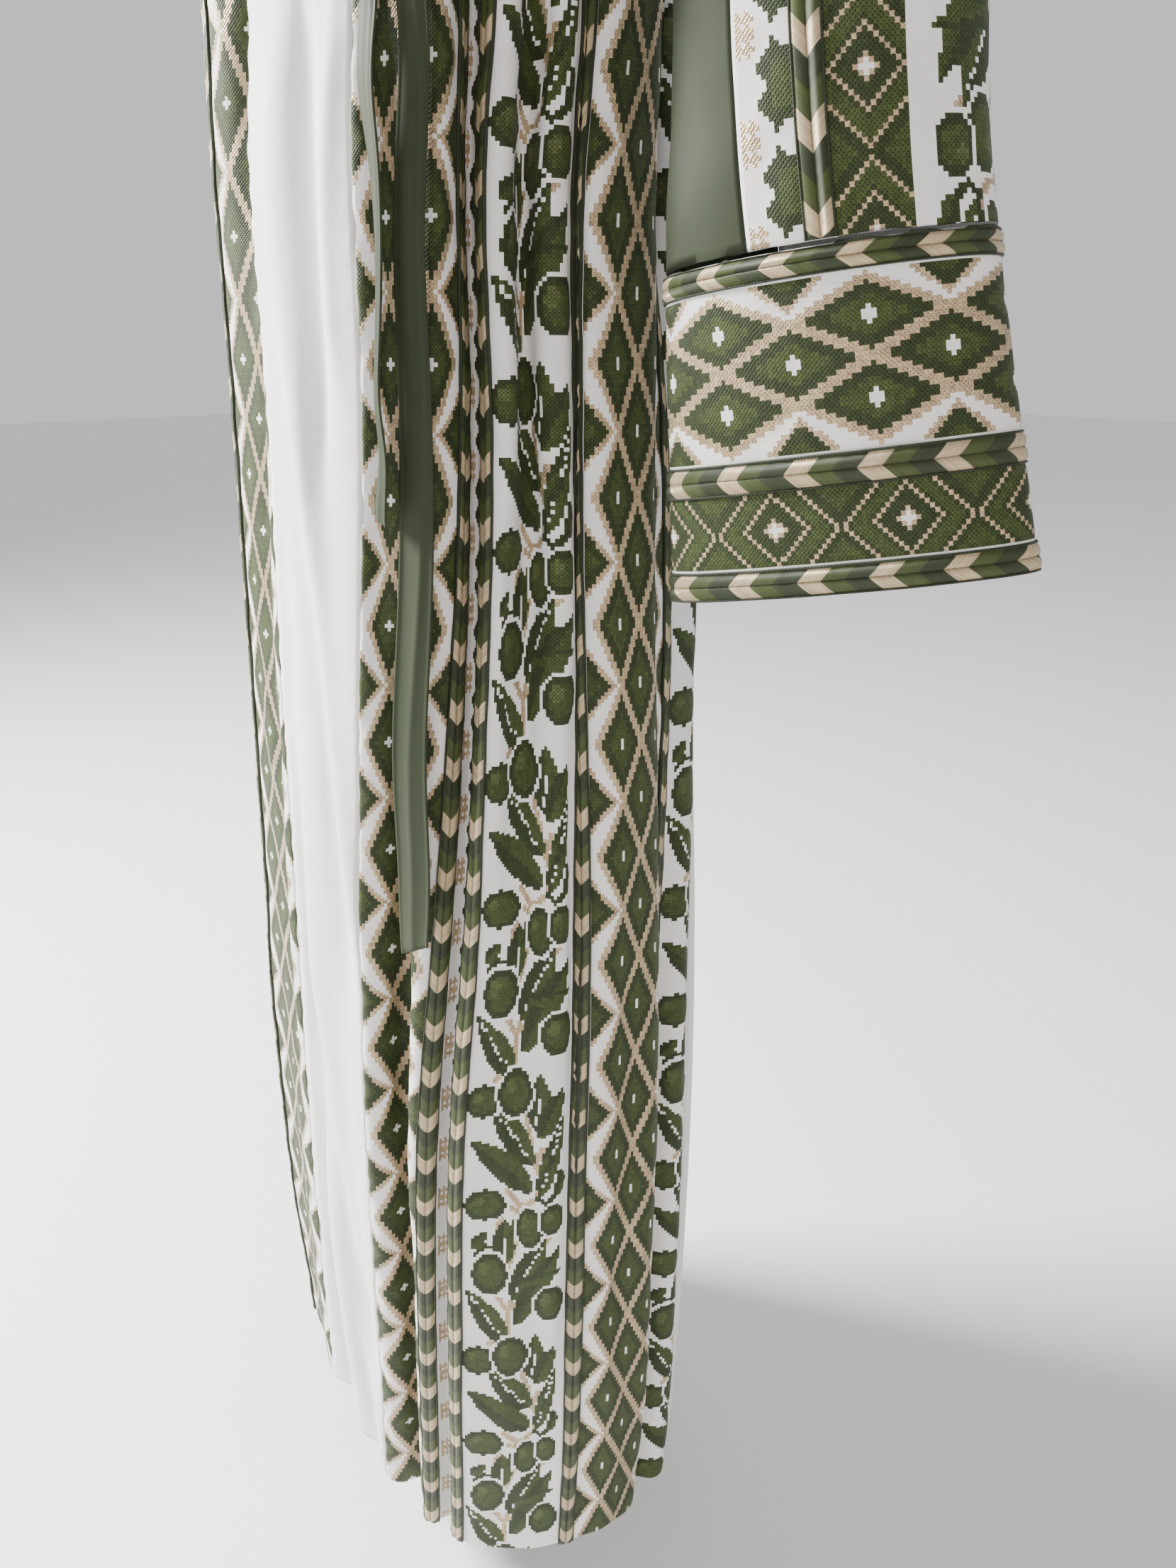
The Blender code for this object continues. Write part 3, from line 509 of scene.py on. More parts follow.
def sprig(width=40):
    """One repeat of the leaf-and-fruit panel, from its top row down."""
    x, y = np.meshgrid(np.arange(width) + 0.5, np.arange(LEAF_REPEAT) + 0.5)
    code = np.zeros(x.shape, int)
    for shift in (-LEAF_REPEAT, 0, LEAF_REPEAT):
        yy = y - shift
        for path in STEMS:
            code = np.where(distance_to_path(x, yy, path) < 0.95, GOLD, code)
        for path in TWIGS:
            code = np.where(distance_to_path(x, yy, path) < 0.75, DARK, code)
        for base_x, base_y, tip_x, tip_y, leaf_width, vein in LEAVES:
            length = math.hypot(tip_x - base_x, tip_y - base_y)
            ahead = ((x - base_x) * (tip_x - base_x) + (yy - base_y) * (tip_y - base_y)) / length
            aside = ((x - base_x) * (tip_y - base_y) - (yy - base_y) * (tip_x - base_x)) / length
            share = np.clip(ahead / length, 0, 1)
            half = 0.62 * leaf_width * np.sin(math.pi * share**0.8) ** 0.75
            inside = (ahead > 0) & (ahead < length) & (np.abs(aside) < half)
            code = np.where(inside, np.where(aside > 0, DARK, MID), code)
            if vein != "plain":
                rib_end = 0.6 if vein == "slit" else 0.9
                rib = inside & (np.abs(aside) < 0.62) & (share > 0.12) & (share < rib_end)
                rib &= (np.floor(ahead) % 2 == 0) | (vein == "slit")
                code = np.where(rib, 0, code)
        for cx, cy, fruit_width, fruit_height in FRUITS:
            far = np.hypot((x - cx) / fruit_width * 1.8, (yy - cy) / fruit_height * 1.8)
            code = np.where((far < 1.16) & (code != 0), 0, code)
            code = np.where(far < 1, np.where(far > 0.72, DARK, MID), code)
            glint_x = (x - cx + 0.18 * fruit_width) / fruit_width * 4
            glint_y = (yy - cy + 0.16 * fruit_height) / fruit_height * 3.4
            glint = np.hypot(glint_x, glint_y)
            code = np.where(glint < 0.62, LIGHT, code)
    return code


SPRIG = sprig()


def leaf_chart(x, y):
    columns = np.clip(np.floor(x).astype(int), 0, SPRIG.shape[1] - 1)
    rows = LEAF_REPEAT - 1 - np.floor(y).astype(int) % LEAF_REPEAT
    return SPRIG[rows[:, None], columns[None, :]]


def cell_middles(edges):
    return (edges[:-1] + edges[1:]) / 2


# ----------------------------------------
# Meshes
# ----------------------------------------


def link(name, mesh, material, nodes):
    """The finished piece, riding on the body and standing for its CAD nodes."""
    mesh.materials.append(material)
    mesh.shade_smooth()
    piece = bpy.data.objects.new(name, mesh)
    bpy.context.scene.collection.objects.link(piece)
    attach(piece, "root")
    if nodes:
        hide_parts(*nodes)
    return piece


def quads(index):
    return np.stack([index[:-1, :-1], index[:-1, 1:], index[1:, 1:], index[1:, :-1]], -1).reshape(-1, 4)


def every(count, step):
    """0, step, 2 * step and so on, ending on count whatever is left over."""
    places = list(range(0, count, step))
    if len(places) > 1 and count - places[-1] < step / 2:
        places.pop()
    return np.array([*places, count])


def shell_mesh(name, points, normals, uv, threads=None, thickness=CLOTH, ring=False, back_step=(4, 2)):
    """A closed sheet: a fine outer face, one stitch a cell where it is embroidered, and a plainer inner face."""
    rows, columns = points.shape[:2]
    if ring:
        points = points[:, :-1]
        normals = normals[:, :-1]
    outer = np.arange(points.shape[0] * points.shape[1]).reshape(points.shape[:2])
    back_rows = every(rows - 1, back_step[0])
    back_columns = every(columns - 1, back_step[1])
    kept = back_columns[:-1] if ring else back_columns
    inner = outer.size + np.arange(len(back_rows) * len(kept)).reshape(len(back_rows), len(kept))
    back = (points - normals * thickness)[np.ix_(back_rows, kept)]
    front = points
    if threads is not None:
        lift = np.zeros((rows, columns))
        raised = (threads > 0).astype(float)
        lift[:-1, :-1] += raised
        lift[1:, :-1] += raised
        lift[:-1, 1:] += raised
        lift[1:, 1:] += raised
        front = points + normals * (RELIEF / 4 * lift[:, : points.shape[1]])[..., None]
    verts = np.concatenate([front.reshape(-1, 3), back.reshape(-1, 3)])
    if ring:
        outer = np.hstack([outer, outer[:, :1]])
        inner = np.hstack([inner, inner[:, :1]])
    point_uv = np.zeros((len(verts), 2))
    point_uv[outer[:, : points.shape[1]]] = uv[:, : points.shape[1]]
    point_uv[inner[:, : len(kept)]] = uv[np.ix_(back_rows, kept)]

    def rim(outer_line, inner_line, places):
        return [
            [*outer_line[start : end + 1][::-1].tolist(), int(inner_line[k]), int(inner_line[k + 1])]
            for k, (start, end) in enumerate(zip(places, places[1:], strict=False))
        ]

    last_row, last_column = rows - 1, columns - 1
    sides = rim(outer[0], inner[0], back_columns)
    sides += rim(outer[-1][::-1], inner[-1][::-1], last_column - back_columns[::-1])
    if not ring:
        sides += rim(outer[:, -1], inner[:, -1], back_rows)
        sides += rim(outer[::-1, 0], inner[::-1, 0], last_row - back_rows[::-1])
    outer_quads = quads(outer)
    inner_quads = quads(inner)[:, ::-1]
    faces = outer_quads.tolist() + inner_quads.tolist() + sides
    mesh = bpy.data.meshes.new(name)
    mesh.from_pydata(verts.tolist(), [], faces)
    corner_uv = np.concatenate(
        [
            np.stack([uv[:-1, :-1], uv[:-1, 1:], uv[1:, 1:], uv[1:, :-1]], 2).reshape(-1, 2),
            point_uv[np.concatenate([inner_quads.reshape(-1), np.concatenate([np.array(f) for f in sides])])],
        ]
    )
    layer = mesh.uv_layers.new(name="Cloth")
    layer.data.foreach_set("uv", corner_uv.reshape(-1).astype(np.float32))
    marks = mesh.attributes.new("thread", "FLOAT", "FACE")
    codes = np.zeros(len(faces), np.float32)
    if threads is not None:
        codes[: len(outer_quads)] = threads.reshape(-1)
    marks.data.foreach_set("value", codes)
    mesh.update()
    return mesh


# ----------------------------------------
# Materials
# ----------------------------------------


class Value:
    """A socket that the usual operators work on, by adding Math nodes."""

    def __init__(self, shader, socket):
        self.shader = shader
        self.socket = socket

    def math(self, operation, *others):
        sockets = {k: other for k, other in enumerate((self, *others))}
        return self.shader.node("ShaderNodeMath", {"operation": operation}, sockets)

    def __add__(self, other):
        return self.math("ADD", other)

    def __sub__(self, other):
        return self.math("SUBTRACT", other)

    def __mul__(self, other):
        return self.math("MULTIPLY", other)

    def __truediv__(self, other):
        return self.math("DIVIDE", other)

    def __lt__(self, other):
        return self.math("LESS_THAN", other)

    def __gt__(self, other):
        return self.math("GREATER_THAN", other)

    def __rsub__(self, other):
        return self.shader.node("ShaderNodeMath", {"operation": "SUBTRACT"}, {0: other, 1: self})

    __radd__ = __add__
    __rmul__ = __mul__

    def __abs__(self):
        return self.math("ABSOLUTE")

    def fraction(self):
        return self.math("FRACT")

    def floor(self):
        return self.math("FLOOR")

    def sine(self):
        return self.math("SINE")

    def near(self, other, within):
        return self.math("COMPARE", other, within)

    def smaller(self, other):
        return self.math("MINIMUM", other)

    def larger(self, other):
        return self.math("MAXIMUM", other)


class Shader:
    """A material's node tree, built from expressions."""

    def __init__(self, name, **constants):
        self.material = bpy.data.materials.new(name)
        self.material.use_nodes = True
        self.tree = self.material.node_tree
        self.surface = self.tree.nodes["Principled BSDF"]
        for socket, value in constants.items():
            self.surface.inputs[socket.replace("_", " ")].default_value = value

    def node(self, kind, settings, sockets, out=0):
        """Adds one node with its settings and the values or links of its sockets, and returns an output."""
        made = self.tree.nodes.new(kind)
        for key, value in settings.items():
            setattr(made, key, value)
        for key, value in sockets.items():
            if isinstance(value, Value):
                self.tree.links.new(value.socket, made.inputs[key])
            else:
                made.inputs[key].default_value = value
        return Value(self, made.outputs[out])

    def mix(self, share, first, second):
        sockets = {0: share, 6: first, 7: second}
        return self.node("ShaderNodeMix", {"data_type": "RGBA"}, sockets, 2)

    def shade(self, colour, amount):
        """The colour times a grey amount."""
        grey = self.node("ShaderNodeCombineXYZ", {}, {0: amount, 1: amount, 2: amount})
        settings = {"data_type": "RGBA", "blend_type": "MULTIPLY"}
        return self.node("ShaderNodeMix", settings, {0: 1.0, 6: colour, 7: grey}, 2)

    def cloth_place(self):
        """The u and v of the cloth, in stitches."""
        place = self.node("ShaderNodeUVMap", {"uv_map": "Cloth"}, {})
        return (
            self.node("ShaderNodeSeparateXYZ", {}, {0: place}, 0),
            self.node("ShaderNodeSeparateXYZ", {}, {0: place}, 1),
        )

    def noise(self, scale, detail=2.0, vector=None, roughness=0.5):
        sockets = {"Scale": scale, "Detail": detail, "Roughness": roughness}
        if vector is None:
            vector = self.node("ShaderNodeTexCoord", {}, {}, "Object")
        sockets["Vector"] = vector
        return self.node("ShaderNodeTexNoise", {}, sockets)

    def to(self, socket, value):
        self.tree.links.new(value.socket, self.surface.inputs[socket])

    def bump(self, height, strength, distance):
        sockets = {"Strength": strength, "Distance": distance, "Height": height}
        self.to("Normal", self.node("ShaderNodeBump", {}, sockets))


IVORY = (0.80, 0.795, 0.79, 1)
CHAMPAGNE = (0.36, 0.275, 0.17, 1)
FOREST = (0.018, 0.027, 0.007, 1)
MOSS = (0.032, 0.046, 0.011, 1)
OLIVE = (0.052, 0.066, 0.020, 1)


def embroidered_crepe():
    """Off-white crepe with cross-stitch: each cell's thread is the face's own number."""
    s = Shader("embroidered_crepe", Sheen_Weight=0.03, Sheen_Roughness=0.5, Specular_IOR_Level=0.25)
    u, v = s.cloth_place()
    thread = s.node("ShaderNodeAttribute", {"attribute_name": "thread"}, {}, "Fac")
    across = u.fraction()
    along = v.fraction()
    diagonals = abs(across - along).smaller(abs(across + along - 1.0))
    cross = 1.0 - (diagonals * 2.4).smaller(1.0)
    edge = abs(across - 0.5).larger(abs(along - 0.5)) * 2.0
    cell = s.node("ShaderNodeCombineXYZ", {}, {0: u.floor(), 1: v.floor(), 2: 0.0})
    each = s.node("ShaderNodeTexWhiteNoise", {"noise_dimensions": "3D"}, {"Vector": cell}, "Value")
    stitched = thread > 0.5
    gold = thread.near(float(GOLD), 0.2)
    wave = s.noise(18.0, 3.0)
    ground = s.shade(s.mix(wave, IVORY, (0.74, 0.735, 0.74, 1)), 0.97 + each * 0.03)
    green = s.mix(thread.near(float(MID), 0.2), FOREST, MOSS)
    green = s.mix(thread.near(float(LIGHT), 0.2), green, OLIVE)
    # Painted light on each stitch: the green thread is lighter along its two diagonals, a painted highlight on the
    # crossing threads, and darker at the cell's edge, painted shade in the gaps between stitches.
    green = s.shade(green, 0.38 + each * 0.50 + cross * 1.15 - (edge > 0.80) * 0.30)
    # Painted glints: bright speckles of fine noise added to the gold thread's colour, a painted highlight.
    painted_glints = s.noise(2600.0, 1.0)
    # The gold thread has the same painted highlight along its diagonals and painted shade at its edge.
    metal = s.shade(CHAMPAGNE, 0.42 + each * 0.40 + cross * 0.55 + (painted_glints > 0.58) * 1.1 - (edge > 0.84) * 0.2)
    colour = s.mix(stitched, ground, s.mix(gold, green, metal))
    s.to("Base Color", colour)
    s.to("Metallic", gold * 0.35)
    s.to("Roughness", 0.82 - stitched * 0.20 - gold * 0.22)
    crepe = s.noise(1500.0, 2.0) * 0.35 + s.noise(320.0, 2.0) * 0.4
    s.bump(stitched * cross + (1.0 - stitched) * crepe, 0.55, 0.0005)
    return s.material


def sage_satin():
    s = Shader("sage_satin", Sheen_Weight=0.02, Sheen_Roughness=0.4, Specular_IOR_Level=0.16)
    u, v = s.cloth_place()
    twill = ((u + v) * 24.0).sine() * 0.5 + 0.5
    cloud = s.noise(30.0, 3.0)
    base = s.mix(cloud, (0.027, 0.037, 0.019, 1), (0.040, 0.051, 0.028, 1))
    # The colour is a little lighter along each twill line, where the bump rises: a painted highlight on the weave's
    # ridges.
    s.to("Base Color", s.shade(base, 0.90 + twill * 0.10))
    s.to("Roughness", 0.54 + cloud * 0.10)
    s.bump(twill * 0.6 + s.noise(900.0, 2.0) * 0.4, 0.25, 0.0003)
    return s.material


BRAID_REPEAT = 15.5


def green_gold_braid():
    """Two rows of slanted satin stitches, gold, dark green and moss by turns, between two cords."""
    s = Shader("green_gold_braid", Sheen_Weight=0.03, Specular_IOR_Level=0.4)
    u, v = s.cloth_place()
    side = abs(u)
    slanted = v - side * 1.05
    part = (slanted / BRAID_REPEAT).fraction()
    gold = part < 0.33
    dark = (part > 0.66) * 1.0
    cord = side > 2.72
    ply = (slanted * 17.0).sine() * 0.5 + 0.5
    strand = s.node("ShaderNodeCombineXYZ", {}, {0: (slanted * 2.6).floor(), 1: u > 0.0, 2: 0.0})
    each = s.node("ShaderNodeTexWhiteNoise", {"noise_dimensions": "3D"}, {"Vector": strand}, "Value")
    green = s.mix(dark, (0.044, 0.062, 0.011, 1), (0.018, 0.028, 0.006, 1))
    colour = s.mix(gold, green, (0.50, 0.40, 0.25, 1))
    colour = s.mix(cord, colour, (0.014, 0.022, 0.007, 1))
    # Painted light on the braid: each thread is lighter along its crest and darker between threads, painted
    # highlight and shade, and the valley down the middle between the two rows is darker still, painted shade.
    s.to("Base Color", s.shade(colour, 0.70 + ply * 0.22 + each * 0.32 - (side < 0.14) * 0.4))
    s.to("Metallic", gold * (1.0 - cord) * 0.30)
    s.to("Roughness", 0.48 - gold * 0.12 + cord * 0.2)
    twist = ((v * 9.0 + u * 5.0).sine() * 0.5 + 0.5) * cord
    s.bump(ply * (1.0 - cord) + twist, 0.5, 0.0004)
    return s.material


def studio_floor():
    s = Shader("studio_floor", Roughness=0.9)
    s.surface.inputs["Base Color"].default_value = (0.86, 0.86, 0.86, 1)
    return s.material


crepe = embroidered_crepe()
satin = sage_satin()
braid = green_gold_braid()

# ----------------------------------------
# The body
# ----------------------------------------


def strip_edges(name, width):
    """Column edges of an embroidered strip: where they lie in the cut, and as whole numbers for its stitches."""
    start = START[name]
    steps = np.arange(width + 1)
    return start + steps, math.ceil(start) + steps


def join_edges(*parts):
    return np.concatenate([p[0] for p in parts]), np.concatenate([p[1] for p in parts])


def lone_edge(at, numbered=None):
    return np.array([at]), np.array([at if numbered is None else numbered])


def body_panel(name, node, edges, sign, top, chart, flat, row_step=1, taper=1.0):
    """One panel of the body. edges are its columns on the wearer's left; sign -1 mirrors it to their right."""
    us, numbers = edges
    vs = every(top, row_step).astype(float)
    threads = chart(cell_middles(us), cell_middles(vs)) if chart else None
    if sign < 0:
        us, numbers = -us[::-1], -numbers[::-1]
        threads = threads[:, ::-1] if threads is not None else None
    points, normals = body_surface(us, vs)
    uv = np.stack(np.meshgrid(numbers, vs), -1)
    mesh = shell_mesh(name, points + normals * CLOTH / 2, normals, uv, threads)
    piece = link(name, mesh, crepe, [node])
    above = top * STITCH - (BELT_HEIGHT - HEM)
    area = flat[0] * (flat[1] - above * (1 - taper) / 2)


def charted(*zones):
    """A chart for columns that cross several strips: (first column, last column, chart of x and y)."""

    def chart(us, vs):
        threads = np.zeros((len(vs), len(us)), int)
        for start, end, draw in zones:
            inside = (us > start) & (us < end)
            threads[:, inside] = draw(us[inside] - start, vs)
        return threads

    return chart


def end_of(name):
    return START[name] + dict(STRIPS)[name]


lattice_zone = (START["lattice"], end_of("lattice"), lattice_chart)
star_zone = (START["star"], end_of("star"), star_chart)
leaf_zone = (START["leaf"], end_of("leaf"), leaf_chart)
side_zone = (START["side_lattice"], end_of("side_lattice"), lambda x, y: lattice_chart(x, y, cross=False))
back_zone = (START["back_leaf"], end_of("back_leaf"), lambda x, y: leaf_chart(x, y + LEAF_REPEAT / 2))

front_edges = join_edges(strip_edges("lattice", 37), strip_edges("star", 12), lone_edge(SEAM_B - SEAM))
front_edges[0][0] += SEAM
leaf_edges = join_edges(
    lone_edge(SEAM_B + SEAM, 89.0), strip_edges("leaf", 40), lone_edge(SEAM_C - SEAM, 137.0)
)
side_edges = join_edges(
    lone_edge(SEAM_C + SEAM, 136.0), strip_edges("side_lattice", 37), lone_edge(SEAM_D - SEAM, 181.0)
)
back_leaf_edges = join_edges(lone_edge(SEAM_D + SEAM, 179.0), strip_edges("back_leaf", 40))
half_front = np.append(np.arange(0, START["lattice"], 1.5)[:-1], START["lattice"] - SEAM)
plain_front = np.concatenate([-half_front[:0:-1], half_front])
half_back = np.linspace(START["back"], HALF_ROUND, 46)
plain_back = np.concatenate([half_back, 2 * HALF_ROUND - half_back[-2::-1]])

LONG_CUT = (SHOULDER_ROW + 6) * STITCH
SIDE_CUT = (ARMHOLE_ROW + 6) * STITCH


def cut_width(edges):
    return float(edges[-1] - edges[0]) * STITCH


for side, sign in (("left", 1), ("right", -1)):
    for kind, edges, top, chart, long in (
        ("front_panel", front_edges, SHOULDER_ROW, charted(lattice_zone, star_zone), LONG_CUT),
        ("side_front_panel", leaf_edges, ARMHOLE_ROW, charted(leaf_zone), SIDE_CUT),
        ("side_back_panel", side_edges, ARMHOLE_ROW, charted(side_zone), SIDE_CUT),
    ):
        name = f"{kind}_{side}"
        body_panel(f"{name}_cloth", name, edges, sign, top, chart, (cut_width(edges[0]), long), taper=0.7)
    body_panel(
        f"back_leaf_strip_{side}",
        "back_panel",
        back_leaf_edges,
        sign,
        SHOULDER_ROW,
        charted(back_zone),
        (cut_width(back_leaf_edges[0]), LONG_CUT),
        taper=0.47,
    )
body_panel(
    "front_centre_cloth",
    "front_centre_panel",
    (plain_front, plain_front),
    1,
    SHOULDER_ROW,
    None,
    (cut_width(plain_front), LONG_CUT),
    row_step=2,
)
body_panel(
    "back_plain_cloth",
    "back_panel",
    (plain_back, plain_back),
    1,
    SHOULDER_ROW,
    None,
    (cut_width(plain_back), LONG_CUT),
    row_step=2,
    taper=0.8,
)

# ----------------------------------------
# Braids
# ----------------------------------------

# The braid's section: place across it in stitches, and height over the cloth in metres.
BRAID_SECTION_COLUMNS = ("across", "height")
BRAID_SECTION = (
    (-3.25, 0.0002), (-3.22, 0.0010), (-3.00, 0.0015), (-2.76, 0.0011), (-2.66, 0.0006), (-2.45, 0.0013),
    (-1.90, 0.0019), (-1.20, 0.0020), (-0.50, 0.0016), (-0.14, 0.0010), (0.0, 0.0005), (0.14, 0.0010),
    (0.50, 0.0016), (1.20, 0.0020), (1.90, 0.0019), (2.45, 0.0013), (2.66, 0.0006), (2.76, 0.0011),
    (3.00, 0.0015), (3.22, 0.0010), (3.25, 0.0002),
)
BRAID_BASE = 0.0008
BRAID_ACROSS = column(BRAID_SECTION, BRAID_SECTION_COLUMNS, "across")
BRAID_HEIGHT = column(BRAID_SECTION, BRAID_SECTION_COLUMNS, "height")


def braid_mesh(name, points, normals, lengths, ring=False):
    """A raised braid from a grid with a column for each place in its section and a row for each length."""
    plump = 1 + 0.10 * np.sin(lengths * 2 * math.pi / BRAID_REPEAT * 3)[:, None]
    top = points + normals * (BRAID_BASE + BRAID_HEIGHT[None] * plump)[..., None]
    base = points + normals * 0.0001
    if ring:
        top = np.vstack([top, top[:1]])
        base = np.vstack([base, base[:1]])
        lengths = np.append(lengths, 2 * lengths[-1] - lengths[-2])
    uv = np.stack(np.meshgrid(BRAID_ACROSS, lengths), -1)
    rows = len(top) - 1 if ring else len(top)
    count = len(BRAID_ACROSS)
    verts = np.concatenate([top[:rows].reshape(-1, 3), base[:rows][:, [0, -1]].reshape(-1, 3)])
    index = np.arange(rows * count).reshape(rows, count)
    under = rows * count + np.arange(rows * 2).reshape(rows, 2)
    if ring:
        index = np.vstack([index, index[:1]])
        under = np.vstack([under, under[:1]])
    left = np.stack([under[:-1, 0], index[:-1, 0], index[1:, 0], under[1:, 0]], -1)
    right = np.stack([index[:-1, -1], under[:-1, 1], under[1:, 1], index[1:, -1]], -1)
    below = np.stack([under[:-1, 1], under[:-1, 0], under[1:, 0], under[1:, 1]], -1)
    top_faces = quads(index)
    faces = np.concatenate([top_faces, left, right, below]).tolist()
    if not ring:
        faces.append([*index[0][::-1].tolist(), int(under[0, 0]), int(under[0, 1])])
        faces.append([*index[-1].tolist(), int(under[-1, 1]), int(under[-1, 0])])
    mesh = bpy.data.meshes.new(name)
    mesh.from_pydata(verts.tolist(), [], faces)
    layer = mesh.uv_layers.new(name="Cloth")
    corners = np.zeros((len(mesh.loops), 2))
    top_uv = np.stack([uv[:-1, :-1], uv[:-1, 1:], uv[1:, 1:], uv[1:, :-1]], 2).reshape(-1, 2)
    corners[: len(top_uv)] = top_uv
    corners[len(top_uv) :] = (3.2, 0)
    layer.data.foreach_set("uv", corners.reshape(-1).astype(np.float32))
    mesh.update()
    return mesh


def body_braid(letter, side, sign, top):
    middle = START[f"braid_{letter}"] + BRAID / 2
    us = sign * middle + BRAID_ACROSS
    vs = every(top, 2).astype(float)
    points, normals = body_surface(us, vs)
    name = f"body_braid_{letter}_{side}"
    mesh = braid_mesh(name, points + normals * CLOTH / 2, normals, vs)
    piece = link(f"{name}_stitched", mesh, braid, [name])
    top * STITCH


for side, sign in (("left", 1), ("right", -1)):
    for letter, top in (("a", SHOULDER_ROW), ("b", ARMHOLE_ROW), ("c", ARMHOLE_ROW), ("d", ARMHOLE_ROW)):
        body_braid(letter, side, sign, top)

# ----------------------------------------
# Sleeves and cuffs
# ----------------------------------------

SLEEVE_BRAID_START = 37.0
SLEEVE_BRAID_END = SLEEVE_BRAID_START + BRAID
SATIN_START = SLEEVE_BRAID_END + 12.0
SATIN_WIDTH = 66.0
SLEEVE_COLUMNS = ("x", "y", "z", "reach", "depth", "twist")
LEFT_SLEEVE = (
    (0.259, 0.008, -0.182, 0.072, 0.068, 4.0),
    (0.284, 0.008, -0.298, 0.073, 0.060, 12.0),
    (0.293, 0.005, -0.400, 0.075, 0.053, 20.0),
    (0.302, 0.002, -0.498, 0.076, 0.048, 26.0),
    (0.313, -0.001, -0.589, 0.083, 0.044, 29.0),
    (0.338, 0.005, -0.755, 0.098, 0.028, 30.0),
)
RIGHT_SLEEVE = (
    (-0.252, 0.022, -0.176, 0.070, 0.068, 0.0),
    (-0.300, 0.046, -0.203, 0.069, 0.056, 0.0),
    (-0.352, 0.052, -0.222, 0.068, 0.046, 0.0),
    (-0.388, 0.004, -0.232, 0.066, 0.046, 0.0),
    (-0.364, -0.078, -0.238, 0.062, 0.054, 0.0),
    (-0.296, -0.226, -0.240, 0.062, 0.062, 0.0),
)
CUFF_RING = len(LEFT_SLEEVE) - 1
CUFF_STITCHES = 70
CUFF_LATTICE_END = 41.5
ARMHOLE_GAP = 0.0012
RING_ANGLES = 721

# Creases of the sleeves, on the same plan as the body's. v counts down from the armhole, and u past SATIN_START
# is on the satin.
SLEEVE_CREASES = {
    "left": (
        (-30, 20, -24, 90, 5.0, 0.0030), (8, 10, 2, 80, 6.0, 0.0028), (-8, 60, -12, 140, 6.0, -0.0030),
        (28, 40, 34, 120, 5.0, 0.0030), (20, 110, 12, 185, 6.0, 0.0026), (-34, 110, -28, 190, 5.5, 0.0028),
        (66, 10, 64, 190, 4.0, 0.0060), (76, 30, 75, 200, 4.5, -0.0070), (88, 5, 86, 190, 4.5, 0.0065),
        (99, 40, 99, 195, 4.0, -0.0060), (110, 5, 111, 190, 4.0, 0.0058), (52, 90, 50, 190, 3.5, -0.0026),
        (-50, 60, -48, 150, 4.0, 0.0026),
    ),
    "right": (
        (-40, 62, -8, 70, 5.0, 0.0036), (-38, 80, -4, 84, 4.5, -0.0040), (-42, 98, -6, 98, 4.5, 0.0036),
        (-44, 112, -10, 116, 5.0, -0.0036), (12, 20, 16, 90, 6.0, 0.0028), (30, 10, 36, 60, 5.0, 0.0030),
        (66, 10, 68, 130, 4.5, 0.0052), (80, 20, 82, 150, 4.5, -0.0052), (96, 10, 94, 150, 4.5, 0.0052),
        (108, 30, 110, 150, 4.0, -0.0042), (-20, 130, -26, 165, 5.0, 0.0024),
    ),
}


def armhole(sign):
    """The armhole's edge as a closed loop from the shoulder tip by the front and under the arm."""
    rows = np.linspace(SHOULDER_ROW, ARMHOLE_ROW, 15)
    front = body_surface([sign * (SEAM_B - 0.5), sign * SEAM_B], rows[::-1])[0][::-1, 1]
    under = body_surface(sign * np.linspace(SEAM_B, SEAM_D, 61), [ARMHOLE_ROW - 1.0, ARMHOLE_ROW])[0][1]
    back = body_surface([sign * SEAM_D, sign * (SEAM_D + 0.5)], rows[::-1])[0][:, 0]
    loop = np.vstack([front[:-1], under, back[1:]])
    loop[:, 0] += sign * ARMHOLE_GAP
    return np.vstack([loop, loop[:1]])


def tube_frames(path, sign):
    """Directions across each ring of a sleeve: to the outside of the arm and to its front."""
    front = np.array([0.0, -1.0, 0.0])
    frames = []
    for tangent in unit(np.gradient(path, axis=0)):
        front = unit(front - tangent * (front @ tangent))
        frames.append((unit(np.cross(front, tangent)) * sign, front))
    return frames


def sleeve_rings(table, sign):
    centres = np.array([row[:3] for row in table])
    start = np.array([[sign * SHOULDER_HALF, SHOULDER_Y, -0.130]])
    frames = tube_frames(np.vstack([start, centres]), sign)[1:]
    angle = np.linspace(0, 2 * math.pi, RING_ANGLES)
    loops = [armhole(sign)]
    for row, (outside, front) in zip(table, frames, strict=True):
        ring = dict(zip(SLEEVE_COLUMNS, row, strict=True))
        twist = math.radians(ring["twist"])
        out = outside * math.cos(twist) - front * math.sin(twist)
        ahead = front * math.cos(twist) + outside * math.sin(twist)
        centre = np.array([ring["x"], ring["y"], ring["z"]])
        reach = ring["reach"] * np.cos(angle)[:, None]
        depth = ring["depth"] * np.sin(angle)[:, None]
        loops.append(centre + out * reach + ahead * depth)
    return loops


def on_ring(loop, stitches):
    """Points of a loop at stitch columns from its outside line. Past SATIN_START they stand for the satin."""
    run = np.concatenate([[0], np.cumsum(np.linalg.norm(np.diff(loop, axis=0), axis=1))])
    satin_room = run[-1] - 2 * SATIN_START * STITCH
    beyond = (stitches - SATIN_START) / SATIN_WIDTH
    places = np.where(
        stitches > SATIN_START, SATIN_START * STITCH + beyond * satin_room, (stitches * STITCH) % run[-1]
    )
    return np.stack([np.interp(places, run, loop[:, axis]) for axis in range(3)], 1)


